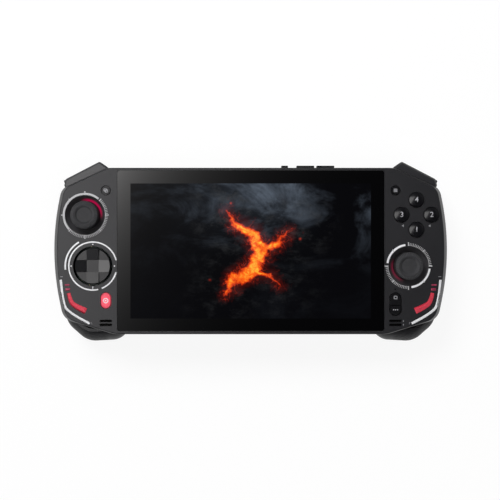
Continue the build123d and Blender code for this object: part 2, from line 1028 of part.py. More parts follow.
def gimbal_ring(stick):
    low = stick_pivot_z - gimbal_thickness / 2
    ring = rod(stick, low, low + gimbal_thickness, gimbal_outer_radius)
    pin_reach = (can_radius + can_bore_radius) / 2
    pin = Rot(0, 90, 0) * Cylinder(gimbal_pin_radius, 2 * pin_reach)
    ring = ring + Pos(stick[0], stick[1], stick_pivot_z) * pin
    ring = ring - rod(stick, low - overrun, low + gimbal_thickness + overrun, gimbal_inner_radius)
    hole = Rot(90, 0, 0) * Cylinder(rocker_pin_radius + pin_gap, 2 * can_radius)
    return ring - Pos(stick[0], stick[1], stick_pivot_z) * hole


def stick_rocker(stick):
    low = stick_pivot_z - rocker_thickness / 2
    rocker = rod(stick, low, low + rocker_thickness, rocker_radius)
    pin_reach = (gimbal_outer_radius + gimbal_inner_radius) / 2
    pin = Rot(90, 0, 0) * Cylinder(rocker_pin_radius, 2 * pin_reach)
    rocker = rocker + Pos(stick[0], stick[1], stick_pivot_z) * pin
    return rocker - rod(stick, low - overrun, low + rocker_thickness + overrun,
                        shaft_radius + pin_gap)


def cap_underside_z():
    """Height of a stick cap's underside, above the dome and its neck."""
    return stick_pivot_z + dome_radius + neck_height


def stick_shaft(stick):
    return rod(stick, stick_pivot_z - shaft_below, cap_underside_z() + socket_depth, shaft_radius)


def stick_cap(stick):
    """Thumb cap with its neck and the domed skirt, turned in one piece."""
    x, y = stick
    skirt = Pos(x, y, stick_pivot_z) * (Sphere(dome_radius) - Sphere(dome_radius - dome_thickness))
    rim_z = stick_pivot_z + dome_radius * math.sin(math.radians(dome_rim_angle))
    skirt = skirt & rod(stick, rim_z, stick_pivot_z + dome_radius + overrun, dome_radius + overrun)
    under = cap_underside_z()
    top = under + cap_thickness
    edge = top - cap_edge_drop
    cap = turned(stick, [
        (0, under),
        (dome_crown_radius, under),
        (cap_radius, edge),
        (cap_radius, edge + cap_lip / 2),
        (cap_radius - cap_lip / 2, edge + cap_edge_rise),
        (cap_dish_radius + cap_lip, top),
        (cap_dish_radius, top - seat_gap),
        (cap_dish_radius - cap_lip, top - cap_dish_depth),
        (0, top - cap_dish_depth),
    ])
    neck_low = stick_pivot_z + dome_radius - dome_thickness
    neck = rod(stick, neck_low, under + seat_gap, neck_radius)
    cap = skirt + neck + cap
    return cap - rod(stick, neck_low - overrun, under + socket_depth, shaft_radius)


def pad_spider():
    x, y = pad_place
    hub = Pos(x, y, pad_pivot_z) * Box(pad_hub_width, pad_hub_width, pad_hub_height)
    pin = Cylinder(pad_pin_radius, 2 * pad_pin_reach)
    pins = [Pos(x, y, pad_pivot_z) * Rot(0, 90, 0) * pin, Pos(x, y, pad_pivot_z) * Rot(90, 0, 0) * pin]
    return joined([hub] + pins)


def pad_lug(along_x, side, low, high):
    """Bearing lug for one end of a pin, standing or hanging between two heights."""
    x, y = pad_place
    reach = side * pad_lug_offset
    half = pad_lug_thickness / 2
    centre = (x + reach, y) if along_x else (x, y + reach)
    turn = 90 if along_x else 0
    lug = Pos(centre[0], centre[1], 0) * Rot(0, 0, turn) * block(
        -pad_lug_radius, pad_lug_radius, -half, half, low, high)
    eye = Pos(centre[0], centre[1], pad_pivot_z) * Rot(0, 0, turn) * Rot(90, 0, 0) * Cylinder(
        pad_lug_radius, pad_lug_thickness)
    hole = Pos(centre[0], centre[1], pad_pivot_z) * Rot(0, 0, turn) * Rot(90, 0, 0) * Cylinder(
        pad_pin_radius + pin_gap, pad_lug_thickness + 2 * overrun)
    return lug + eye - hole


def direction_pad():
    x, y = pad_place
    disc_top = face_z - pad_disc_drop
    disc_low = disc_top - pad_disc_thickness
    disc = rod(pad_place, disc_low, disc_top, pad_disc_radius)
    disc = chamfer(disc.edges().sort_by(Axis.Z)[-1], small_round)
    arm_top = face_z + pad_arm_height - pad_disc_drop
    arms = Pos(x, y) * (Rectangle(2 * pad_arm_length, pad_arm_width)
                        + Rectangle(pad_arm_width, 2 * pad_arm_length))
    cross = plate(arms, disc_low, arm_top)
    cross = cross & rod(pad_place, disc_low, arm_top, pad_arm_length)
    centre_z = arm_top - pad_slope_depth
    slope = make_face(Polyline(
        (0, 0, centre_z),
        (pad_centre_radius, 0, centre_z),
        (pad_arm_length, 0, arm_top),
        (pad_arm_length, 0, arm_top + overrun),
        (0, 0, arm_top + overrun),
        close=True,
    ))
    wedge = extrude(slope, amount=pad_arm_width, both=True)
    for quarter in range(pad_arm_count):
        cross = cross - Pos(x, y) * Rot(0, 0, quarter * 360 / pad_arm_count) * (wedge & block(
            0, pad_arm_length, -pad_arm_width / 2, pad_arm_width / 2, centre_z, arm_top + overrun))
    cross = cross - rod(pad_place, centre_z, arm_top + overrun, pad_centre_radius)
    pad = disc + cross
    for side in (-1, 1):
        pad = pad + pad_lug(False, side, pad_pivot_z, disc_low + seat_gap)
        for dx, dy in ((side, 0), (0, side)):
            place = (x + dx * pad_nub_offset, y + dy * pad_nub_offset)
            pad = pad + rod(place, disc_low - pad_nub_length, disc_low + seat_gap, pad_nub_radius)
    return pad


def key_stem(place, travel):
    """Stem under a key that reaches almost to its dome when pressed."""
    return rod(place, dome_top_z + key_stem_gap + travel, flange_low_z + seat_gap, key_stem_radius)


def round_key(place, radius, rise, crown, travel):
    top = face_z + rise
    dome = (radius ** 2 + crown ** 2) / (2 * crown) if crown else 0
    key = rod(place, flange_low_z, top + crown, radius)
    if crown:
        key = key & Pos(place[0], place[1], top + crown - dome) * Sphere(dome)
    key = key + rod(place, flange_low_z, flange_top_z, radius + key_gap + key_flange)
    return key + key_stem(place, travel)


def home_key():
    place = (-key_column_x, -home_key_y)
    grow = 2 * (key_gap + key_flange)
    key = oblong(place, home_key_width, home_key_length, flange_low_z, face_z + small_key_rise)
    key = chamfer(key.faces().sort_by(Axis.Z)[-1].edges(), small_round / 2)
    key = key + oblong(place, home_key_width + grow, home_key_length + grow,
                       flange_low_z, flange_top_z)
    return key + key_stem(place, small_key_travel)


def pair_key(upper):
    """One of the two keys that share a capsule outline."""
    place = (key_column_x, -pair_key_y)
    grow = 2 * (key_gap + key_flange)
    key = oblong(place, pair_key_width, pair_key_length, flange_low_z, face_z + small_key_rise)
    key = chamfer(key.faces().sort_by(Axis.Z)[-1].edges(), small_round / 2)
    key = key + oblong(place, pair_key_width + grow, pair_key_length + grow,
                       flange_low_z, flange_top_z)
    reach = pair_key_length + grow
    edge = split_y + pair_key_split / 2 if upper else split_y - pair_key_split / 2
    near, far = (edge - reach, edge) if upper else (edge, edge + reach)
    key = key - block(place[0] - pair_key_width, place[0] + pair_key_width, near, far,
                      flange_low_z - overrun, face_z + overrun)
    return key + key_stem(pair_stem_place(upper), small_key_travel)


def pair_stem_place(upper):
    """Place of the stem under one of the paired keys."""
    end = -pair_key_y + (pair_key_length / 2 if upper else -pair_key_length / 2)
    return (key_column_x, (split_y + end) / 2)


def shoulder_area(margin):
    """Both shoulders' pockets with their walls, as cutters for the boards."""
    return both_sides(bumper_pocket(pocket_wall + margin, face_z))


def stick_board_cut(stick):
    """Room round the can of a stick module in a board."""
    return rod(stick, board_low_z - overrun, board_top_z + overrun, board_stick_hole)


def button_board(right):
    inner = key_column_x - glass_side_margin + board_inner_gap
    side = 1 if right else -1
    outer = inner + (right_board_reach if right else left_board_reach)
    low = right_board_low if right else left_board_low
    near = side * inner
    if right:
        board = block(near, inner + right_board_strip, -low, left_board_high,
                      board_low_z, board_top_z)
        board = board + block(near, outer, right_board_shelf_low, right_board_shelf_high,
                              board_low_z, board_top_z)
        stick = right_stick
    else:
        board = block(-outer, near, -low, left_board_high, board_low_z, board_top_z)
        stick = left_stick
    screw_hole = rod((side * side_screw_x, side_screw_y), board_low_z - overrun,
                     board_top_z + overrun, screw_post_radius + board_post_gap)
    for cut in [stick_board_cut(stick), screw_hole] + shoulder_area(board_edge_gap):
        board = board - cut
    if not right:
        for lug_side in (-1, 1):
            board = board + pad_lug(True, lug_side, board_top_z - seat_gap, pad_pivot_z)
    return board


def key_domes(places):
    """Snap domes on a button board, one under each stem."""
    domes = []
    for place in places:
        base_top = board_top_z + key_dome_base
        base = rod(place, board_top_z, base_top, key_dome_radius + key_dome_rim)
        cap = (key_dome_radius ** 2 + key_dome_height ** 2) / (2 * key_dome_height)
        crown = Pos(place[0], place[1], base_top + key_dome_height - cap) * Sphere(cap)
        crown = crown & rod(place, board_top_z, base_top + key_dome_height, key_dome_radius)
        domes.append(base + crown)
    return domes


def left_dome_places():
    x, y = pad_place
    pads = [(x + dx * pad_nub_offset, y + dy * pad_nub_offset)
            for dx, dy in ((1, 0), (0, 1), (-1, 0), (0, -1))]
    return pads + [(-key_column_x, corner_key_y), (-key_column_x, -home_key_y)]


def right_dome_places():
    others = [(key_column_x, corner_key_y), pair_stem_place(True), pair_stem_place(False)]
    return list(face_key_places().values()) + others


def edge_key(x, width):
    low = edge_key_middle() - edge_key_height / 2
    outer = half_height + edge_key_proud
    inner_wall = half_height - wall - slide_gap
    key = block(x - width / 2, x + width / 2, outer - edge_key_depth + wall, outer,
                low, low + edge_key_height)
    key = fillet(key.edges().filter_by(Axis.Z).sort_by(Axis.Y)[-2:], small_round)
    grow = edge_key_flange
    flange = block(x - width / 2 - grow, x + width / 2 + grow,
                   inner_wall - edge_key_flange_thickness, inner_wall, low - grow,
                   low + edge_key_height + grow)
    return key + flange


def edge_key_board():
    """Small upright board behind the keys in the top edge."""
    outer = half_height + edge_key_proud - edge_key_depth + wall - edge_key_travel - seat_gap
    left = power_key_x - power_key_width / 2 - edge_board_margin
    right = volume_up_x + volume_key_width / 2 + edge_board_margin
    return block(left, right, outer - edge_board_thickness, outer,
                 plate_z - seat_gap - edge_board_height - wall, plate_z - seat_gap)


def bumper():
    points = [
        (-bumper_outer_reach, -bumper_back),
        (-bumper_outer_reach, bumper_low_out),
        (-bumper_corner_x, bumper_corner_out),
        (bumper_peak_x, bumper_peak_out),
        (bumper_inner_reach, 0),
        (bumper_inner_reach, -bumper_back),
    ]
    shape = make_face(FilletPolyline(*points, radius=bumper_edge_radius, close=True))
    body = plate(shape, bumper_low_z, bumper_top_z)
    body = chamfer(body.faces().sort_by(Axis.Z)[-1].edges(), bumper_bevel)
    hole = rod((bumper_pin_x, -bumper_pin_back), bumper_low_z - overrun, bumper_top_z + overrun,
               shoulder_pin_radius + pin_gap)
    return shoulder_frame() * (body - hole)


def trigger():
    points = [(0, trigger_hub_radius)]
    points += [(y * trigger_reach, z * trigger_drop) for y, z in trigger_profile_shares]
    points.append((0, -trigger_hub_radius))
    edge, face_curve, inner_curve = trigger_edge_radius, trigger_face_radius, trigger_inner_radius
    radii = [edge, edge, edge, face_curve, edge, edge, inner_curve, inner_curve, edge]
    face = make_face(FilletPolyline(*points, radius=radii, close=True))
    length = trigger_outer_reach + trigger_inner_reach
    blade = extrude(Plane.YZ * face, amount=length)
    blade = chamfer(blade.faces().sort_by(Axis.X)[0].edges(), trigger_side_chamfer)
    blade = chamfer(blade.faces().sort_by(Axis.X)[-1].edges(), trigger_side_chamfer)
    hub = Rot(0, 90, 0) * Cylinder(trigger_hub_radius, length, align=STAND)
    hole = Pos(-overrun, 0, 0) * Rot(0, 90, 0) * Cylinder(
        shoulder_pin_radius + pin_gap, length + 2 * overrun, align=STAND)
    middle = trigger_outer_reach - spring_x
    half_room = spring_length / 2 + spring_wire_radius + slide_gap
    front = spring_radius + spring_wire_radius + slide_gap
    back = trigger_hub_radius + overrun
    spring_room = block(middle - half_room, middle + half_room, -back, front, -back, back)
    body = blade + hub - hole - spring_room
    return shoulder_frame() * Pos(-trigger_outer_reach, -trigger_pin_back, trigger_pin_z) * body


def shoulder_pins():
    """Pins of both triggers and both bumpers."""
    across = trigger_pin(shoulder_pin_radius, trigger_outer_reach + pocket_end_gap
                         + shoulder_pin_bite, trigger_inner_reach + pocket_end_gap
                         + shoulder_pin_bite)
    upright = rod(bumper_pin_place(), bumper_low_z - shoulder_boss_depth + pocket_wall,
                  plate_z, shoulder_pin_radius)
    return both_sides(across) + both_sides(upright)


def trigger_spring():
    """Return spring wound round the trigger's pin."""
    path = Helix(spring_pitch, spring_length, spring_radius)
    wire = Plane(origin=path @ 0, z_dir=path % 0) * Circle(spring_wire_radius)
    coil = Pos(-spring_length / 2, 0, 0) * Rot(0, 90, 0) * sweep(wire, path=path, is_frenet=True)
    return shoulder_frame() * Pos(-spring_x, -trigger_pin_back, trigger_pin_z) * coil


def main_board():
    board = block(-main_board_left, main_board_right, -main_board_low, main_board_high,
                  main_board_low_z, main_board_top_z)
    half_x = processor_width / 2
    half_y = processor_height / 2
    board = board + block(processor_x - half_x, processor_x + half_x, processor_y - half_y,
                          processor_y + half_y, main_board_low_z - processor_thickness,
                          main_board_low_z + seat_gap)
    for index in range(chip_count):
        left = index * chip_pitch - main_board_left + main_board_inset + chip_width
        board = board + block(left, left + chip_width, chip_y - chip_height / 2,
                              chip_y + chip_height / 2, main_board_top_z - seat_gap,
                              main_board_top_z + chip_thickness)
    edge = drive_x + drive_width / 2
    board = board + block(edge - connector_depth / 2, edge + connector_depth / 2,
                          drive_y - drive_height / 2, drive_y + drive_height / 2,
                          main_board_top_z - seat_gap, main_board_top_z + drive_lift)
    return board - rod((0, middle_screw_y), main_board_low_z - overrun,
                       main_board_top_z + overrun, screw_post_radius + seat_gap)


def solid_state_drive():
    half_x = drive_width / 2
    half_y = drive_height / 2
    low = main_board_top_z + drive_lift
    drive = block(drive_x - half_x, drive_x + half_x, drive_y - half_y, drive_y + half_y,
                  low, low + drive_board_thickness)
    for side in (-1, 1):
        middle = drive_x + side * half_x / 2
        drive = drive + block(middle - drive_chip_width / 2, middle + drive_chip_width / 2,
                              drive_y - drive_chip_share * half_y,
                              drive_y + drive_chip_share * half_y,
                              low + drive_board_thickness - seat_gap,
                              low + drive_board_thickness + drive_chip_thickness)
    return drive


def fin_band():
    """Near and far limits of the fin stack in Y."""
    return fan_high + fin_gap, half_height - wall - fin_gap


def heat_pipe():
    """Flat pipe from the spreader on the processor to the fin stack."""
    top = main_board_low_z - processor_thickness
    spreader = block(processor_x - spreader_width / 2, processor_x + spreader_width / 2,
                     processor_y - spreader_height / 2, processor_y + spreader_height / 2,
                     top - spreader_thickness, top)
    near, far = fin_band()
    run_y = (near + far) / 2
    path = FilletPolyline(
        (processor_x + spreader_width / 2 - pipe_width / 2, processor_y),
        (pipe_drop_x, processor_y),
        (-pipe_bend_x, run_y),
        (fin_margin + pipe_width / 2 - fan_left, run_y),
        radius=pipe_bend_radius,
    )
    pipe_top = top - spreader_thickness
    pipe = plate(trace(path, line_width=pipe_width), pipe_top - pipe_thickness, pipe_top)
    return spreader + pipe


def fin_stack():
    """Thin fins on a base that sits on the heat pipe."""
    near, far = fin_band()
    base_low = main_board_low_z - processor_thickness - spreader_thickness
    left = fin_margin - fan_left
    right = -fan_right - fin_margin
    stack = [block(left, right, near, far, base_low, base_low + fin_thickness)]
    top = base_low + fin_height
    pitch = (right - left - fin_thickness) / (fin_count - 1)
    for index in range(fin_count):
        x = left + index * pitch
        stack.append(block(x, x + fin_thickness, near, far, base_low, top))
    stack.append(block(left, right, near, far, top - fin_thickness, top))
    return joined(stack)


def fan_housing():
    x, y = fan_place()
    low = floor_z + seat_gap
    high = low + fan_height
    housing = block(-fan_left, -fan_right, -fan_low, fan_high, low, high)
    chamber_low = low + fan_skin
    chamber_high = high - fan_skin
    chamber = rod((x, y), chamber_low, chamber_high, rotor_radius + fan_skin)
    chamber = chamber + block(fan_skin - fan_left, -fan_right - fan_skin, y, fan_high + overrun,
                              chamber_low, chamber_high)
    housing = housing - chamber
    housing = housing - rod((x, y), chamber_high - overrun, high + overrun, fan_intake_radius)
    intake = rod((x, y), low - overrun, chamber_low + overrun, fan_intake_radius)
    intake = intake - rod((x, y), low - 2 * overrun, chamber_low + 2 * overrun, hub_radius)
    for turn in (0, 60, 120):
        spoke = Box(2 * rotor_radius, fan_spoke_width, fan_height)
        intake = intake - Pos(x, y, low) * Rot(0, 0, turn) * spoke
    housing = housing - intake
    shaft = rod((x, y), low, chamber_high - rotor_gap, fan_shaft_radius)
    return housing + shaft


def fan_rotor():
    place = fan_place()
    low = floor_z + seat_gap + fan_skin + rotor_gap
    high = floor_z + seat_gap + fan_height - fan_skin - rotor_gap
    pieces = [rod(place, low, high, hub_radius)]
    length = rotor_radius - hub_radius
    for index in range(blade_count):
        blade = Rot(0, 0, index * 360 / blade_count) * Pos(hub_radius - seat_gap, 0, low)
        blade = blade * Rot(0, 0, blade_sweep) * Box(
            length, blade_thickness, high - low, align=(Align.MIN, Align.CENTER, Align.MIN))
        pieces.append(Pos(place[0], place[1]) * blade)
    band = rod(place, low, low + rotor_band, rotor_radius)
    band = band - rod(place, low - overrun, low + rotor_band + overrun,
                      rotor_radius - 2 * rotor_band)
    rotor = joined(pieces + [band])
    rotor = rotor & rod(place, low, high, rotor_radius)
    return rotor - rod(place, low - overrun, high + overrun, fan_shaft_radius + pin_gap)


def battery():
    low = floor_z + seat_gap
    cell = block(-battery_width / 2, battery_width / 2, -battery_low,
                 battery_height - battery_low, low, low + battery_thickness)
    return fillet(cell.edges(), battery_round)


def speaker(side):
    x = side * key_column_x
    top = plate_z - slide_gap
    half_x = speaker_width / 2
    middle = speaker_rise - speaker_y
    body = block(x - half_x, x + half_x, middle - speaker_height / 2,
                 middle + speaker_height / 2, top - speaker_thickness, top)
    cone = rod((x, middle), top - speaker_cone_depth, top + overrun, speaker_cone_radius)
    return body - cone


def motor_place(side):
    """Middle of one rumble motor, lying along Y in the grip."""
    return Pos(side * (half_width - motor_from_flank), -motor_y, wall + seat_gap + motor_radius)


def rumble_motor(side):
    can = Rot(90, 0, 0) * Cylinder(motor_radius, motor_length)
    shaft_length = motor_length / 2 + weight_gap + weight_length
    shaft = Rot(90, 0, 0) * Cylinder(motor_shaft_radius, shaft_length, align=STAND)
    return motor_place(side) * (can + shaft)


def rumble_weight(side):
    """Half-round weight that hangs off centre on the motor's shaft."""
    sector = Cylinder(weight_radius, weight_length, align=STAND)
    half = Pos(0, weight_radius, -overrun) * Box(
        2 * weight_radius, 2 * weight_radius, weight_length + 2 * overrun, align=STAND)
    hub = Cylinder(motor_shaft_radius + weight_bore_wall, weight_length, align=STAND)
    bore = Pos(0, 0, -overrun) * Cylinder(motor_shaft_radius + pin_gap,
                                          weight_length + 2 * overrun, align=STAND)
    weight = sector - half + hub - bore
    start = motor_length / 2 + weight_gap
    return motor_place(side) * Pos(0, -start, 0) * Rot(90, 0, 0) * weight


def usb_socket(x, top_edge):
    """Oval metal shell with a tongue inside, open at the console's edge."""
    face = half_height - wall / 2
    start, stop = face - usb_length, face
    shell = usb_slot(x, 0, start, stop) - usb_slot(x, usb_shell, start + usb_back, stop + overrun)
    half = usb_width / 2 - usb_tongue_inset
    shell = shell + block(x - half, x + half, start + usb_back - seat_gap,
                          stop - usb_tongue_inset, usb_z() - usb_tongue / 2,
                          usb_z() + usb_tongue / 2)
    return shell if top_edge else mirror(shell, about=Plane.XZ)


def lower_usb_board():
    """Small board behind the lower socket, on two posts."""
    far = wall / 2 - half_height + usb_length
    return block(-usb_board_width / 2, usb_board_width / 2, far - usb_board_length, far,
                 main_board_low_z, main_board_top_z)


def headphone_jack():
    face = half_height
    top = main_board_low_z
    nose = wall + seat_gap
    body = block(jack_x - jack_width / 2, jack_x + jack_width / 2, face - nose - jack_length,
                 face - nose, top - jack_height, top)
    barrel = Pos(jack_x, face, jack_z()) * Rot(90, 0, 0) * Cylinder(
        jack_nose_radius, nose + seat_gap, align=STAND)
    bore = Pos(jack_x, face + overrun, jack_z()) * Rot(90, 0, 0) * Cylinder(
        jack_bore_radius, jack_depth + overrun, align=STAND)
    return body + barrel - bore


def card_slot():
    far = half_height - wall - seat_gap
    low = main_board_low_z - card_height
    body = block(card_x - card_width / 2, card_x + card_width / 2, far - card_length, far,
                 low, main_board_low_z)
    margin = (card_height - card_slot_height) / 2
    return body - block(card_x - card_slot_width / 2, card_x + card_slot_width / 2,
                        far - card_slot_depth, far + overrun, low + margin,
                        main_board_low_z - margin)


def cover_screw(place, head_low):
    """Screw with a cross recess, entered from the back."""
    head_high = head_low + screw_head_height
    head = rod(place, head_low, head_high, screw_head_radius)
    head = chamfer(head.edges().sort_by(Axis.Z)[0], small_round / 2)
    shank = rod(place, head_low + seat_gap, parting_z + screw_bite, screw_radius)
    screw = head + shank
    for turn in (0, 90):
        slot = Pos(place[0], place[1], head_low) * Rot(0, 0, turn) * Box(
            screw_head_radius, small_round, screw_head_height)
        screw = screw - slot
    return screw


def cover_screws():
    return [cover_screw(place, back_z + screw_sink) for place in screw_places]


os.makedirs("parts", exist_ok=True)

save("front_cover", front_cover())
save("rear_cover", rear_cover())
save("mid_frame", mid_frame())
save("display_panel", display_panel())
save("display_glass", display_glass())
for side_name, stick in (("left", left_stick), ("right", right_stick)):
    save(f"{side_name}_light_ring", light_ring(stick))
    save(f"{side_name}_stick_module", stick_module(stick))
    save(f"{side_name}_gimbal_ring", gimbal_ring(stick))
    save(f"{side_name}_stick_rocker", stick_rocker(stick))
    save(f"{side_name}_stick_shaft", stick_shaft(stick))
    save(f"{side_name}_stick_cap", stick_cap(stick))
save("pad_spider", pad_spider())
save("direction_pad", direction_pad())
for key_name, key_place in face_key_places().items():
    save(key_name, round_key(key_place, face_key_radius, face_key_rise, face_key_crown,
                             face_key_travel))
save("view_key", round_key((-key_column_x, corner_key_y), small_key_radius, small_key_rise, 0,
                           small_key_travel))
save("menu_key", round_key((key_column_x, corner_key_y), small_key_radius, small_key_rise, 0,
                           small_key_travel))
save("home_key", home_key())
save("task_key", pair_key(True))
save("quick_key", pair_key(False))
for key_name, (key_x, key_width) in edge_keys().items():
    save(key_name, edge_key(key_x, key_width))
save("edge_key_board", edge_key_board())
save("left_button_board", button_board(False))
save("right_button_board", button_board(True))
save("left_key_domes", *key_domes(left_dome_places()))
save("right_key_domes", *key_domes(right_dome_places()))
save("left_bumper", bumper())
save("right_bumper", mirrored(bumper()))
save("left_trigger", trigger())
save("right_trigger", mirrored(trigger()))
save("shoulder_pins", *shoulder_pins())
save("left_trigger_spring", trigger_spring())
save("right_trigger_spring", mirrored(trigger_spring()))
save("main_board", main_board())
save("solid_state_drive", solid_state_drive())
save("heat_pipe", heat_pipe())
save("fin_stack", fin_stack())
save("fan_housing", fan_housing())
save("fan_rotor", fan_rotor())
save("battery", battery())
for side_name, side in (("left", -1), ("right", 1)):
    save(f"{side_name}_speaker", speaker(side))
    save(f"{side_name}_rumble_motor", rumble_motor(side))
    save(f"{side_name}_rumble_weight", rumble_weight(side))
save("usb_sockets", usb_socket(usb_top_x, True), usb_socket(0, False), lower_usb_board())
save("headphone_jack", headphone_jack())
save("card_slot", card_slot())
save("cover_screws", *cover_screws())
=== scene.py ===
import math

import bmesh
import bpy
from bpy.props import FloatProperty, FloatVectorProperty, IntProperty
from bpy.types import Operator, Panel, PropertyGroup
from mathutils import Matrix, Vector
from mathutils.bvhtree import BVHTree


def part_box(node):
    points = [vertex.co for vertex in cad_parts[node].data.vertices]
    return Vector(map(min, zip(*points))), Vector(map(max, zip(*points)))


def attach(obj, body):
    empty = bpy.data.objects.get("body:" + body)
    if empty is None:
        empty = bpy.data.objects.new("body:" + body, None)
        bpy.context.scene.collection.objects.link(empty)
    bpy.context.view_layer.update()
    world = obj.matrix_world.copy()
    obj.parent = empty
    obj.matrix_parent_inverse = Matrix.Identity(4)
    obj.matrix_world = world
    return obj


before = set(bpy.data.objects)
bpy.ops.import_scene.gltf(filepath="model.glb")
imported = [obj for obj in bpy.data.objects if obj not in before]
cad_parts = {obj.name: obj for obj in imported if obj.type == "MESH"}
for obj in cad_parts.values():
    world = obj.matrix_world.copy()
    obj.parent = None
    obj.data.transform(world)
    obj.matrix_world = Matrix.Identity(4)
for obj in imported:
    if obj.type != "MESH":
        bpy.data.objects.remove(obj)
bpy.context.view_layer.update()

bl_info = {
    "name": "Handheld game console",
    "version": (1, 0, 0),
    "blender": (4, 5, 0),
    "location": "3D View > Sidebar > Console",
    "description": "Finishes, prints and small trim for a handheld game console",
    "category": "Object",
}

MM = 0.001
ROOT = "console"
SIDES = ("left", "right")


def middle_of(node):
    """Middle of a CAD node's box, at rest."""
    low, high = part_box(node)
    return (low + high) / 2


FACE_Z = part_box("front_cover")[1].z
STICKS = {side: middle_of(f"{side}_stick_cap") for side in SIDES}
PAD = middle_of("direction_pad")


def both(*names):
    """Names of the nodes that come once on each side."""
    return [f"{side}_{name}" for side in SIDES for name in names]


def colour(name, text, default):
    return FloatVectorProperty(name=name, description=text, subtype="COLOR", size=3, min=0.0, max=1.0,
                               default=default)


def length(name, text, default):
    return FloatProperty(name=name, description=text, unit="LENGTH", subtype="DISTANCE", min=0.0,
                         default=default)


def brightness(name, text, default):
    return FloatProperty(name=name, description=text, min=0.0, default=default)


class ConsoleColours(PropertyGroup):
    shell: colour("Shell", "Moulded plastic of both covers", (0.009, 0.009, 0.0108))
    shoulder: colour("Shoulders", "Bumpers and triggers", (0.011, 0.011, 0.013))
    rubber: colour("Stick rubber", "Caps of the thumb sticks", (0.021, 0.021, 0.023))
    pad: colour("Direction pad", "Plastic of the direction pad", (0.006, 0.006, 0.0072))
    key: colour("Face keys", "Glossy domes of the face keys", (0.004, 0.004, 0.005))
    small_key: colour("Small keys", "Satin keys in the corners and the top edge", (0.006, 0.006, 0.007))
    home: colour("Home key", "Lit red plastic of the home key", (0.72, 0.045, 0.085))
    print_white: colour("White print", "White stripes and rings", (0.88, 0.88, 0.9))
    print_grey: colour("Grey print", "Fine grey marks", (0.3, 0.3, 0.32))
    print_red: colour("Red print", "Red stripes on the flanks", (0.5, 0.02, 0.045))
    glow: colour("Glow", "Light in the rings round the sticks", (0.36, 0.002, 0.05))
    ember: colour("Ember", "Glowing cracks in the picture", (1.0, 0.13, 0.006))
    haze: colour("Haze", "Pale smoke in the picture", (0.085, 0.105, 0.135))
    board: colour("Boards", "Solder mask of the circuit boards", (0.004, 0.012, 0.009))
    steel: colour("Steel", "Plated steel of pins, springs, shafts and sockets", (0.55, 0.55, 0.57))
    copper: colour("Copper", "Heat pipe", (0.78, 0.36, 0.2))
    gold: colour("Gold", "Contacts in the sockets", (0.9, 0.62, 0.22))


class ConsoleSizes(PropertyGroup):
    print_height: length("Print height", "How far a print stands above what carries it", 0.04 * MM)
    stripe_width: length("Stripe width", "White stripe round each lower corner", 1.8 * MM)
    ring_width: length("Ring width", "White ring round the direction pad", 0.9 * MM)
    tick_width: length("Tick width", "Fine ticks round the sticks", 0.38 * MM)
    numeral_height: length("Numeral height", "Numerals on the face keys", 3.3 * MM)
    ridge_count: IntProperty(name="Ridges", description="Ridges round each stick cap", min=12, max=120,
                             default=48)
    mesh_pitch: length("Mesh pitch", "Pitch of the dust mesh behind the air slots", 1.1 * MM)


class ConsoleStage(PropertyGroup):
    camera_height: length("Camera height", "Camera above the front face", 0.7)
    view_width: length("View width", "Width seen at the front face", 0.32275)
    key_power: brightness("Key light", "Power of the key light", 14.0)
    fill_power: brightness("Fill light", "Power of the fill light", 10.0)
    card_strength: brightness("Card", "Brightness of the reflector card", 0.0625)


class Amount:
    """A number that varies over a surface. Python expressions on it add Math nodes."""

    def __init__(self, finish, socket):
        self.finish = finish
        self.socket = socket

    def math(self, operation, *terms):
        return self.finish.node("ShaderNodeMath", {"operation": operation}, dict(enumerate(terms)))

    def __add__(self, other):
        return self.math("ADD", self, other)

    def __radd__(self, other):
        return self.math("ADD", other, self)

    def __sub__(self, other):
        return self.math("SUBTRACT", self, other)

    def __rsub__(self, other):
        return self.math("SUBTRACT", other, self)

    def __mul__(self, other):
        return self.math("MULTIPLY", self, other)

    def __rmul__(self, other):
        return self.math("MULTIPLY", other, self)

    def __truediv__(self, other):
        return self.math("DIVIDE", self, other)

    def __abs__(self):
        return self.math("ABSOLUTE", self)

    def root(self):
        return self.math("SQRT", self)

    def larger(self, other):
        return self.math("MAXIMUM", self, other)

    def smaller(self, other):
        return self.math("MINIMUM", self, other)

    def exponential(self):
        return self.math("EXPONENT", self)

    def rise(self, low, high):
        """Zero below low, one above high, smooth between. Limits may be the other way round."""
        turned = low > high
        if turned:
            low, high = high, low
        step = self.finish.node("ShaderNodeMapRange", {"interpolation_type": "SMOOTHSTEP"},
                                {"Value": self, "From Min": low, "From Max": high})
        return 1 - step if turned else step


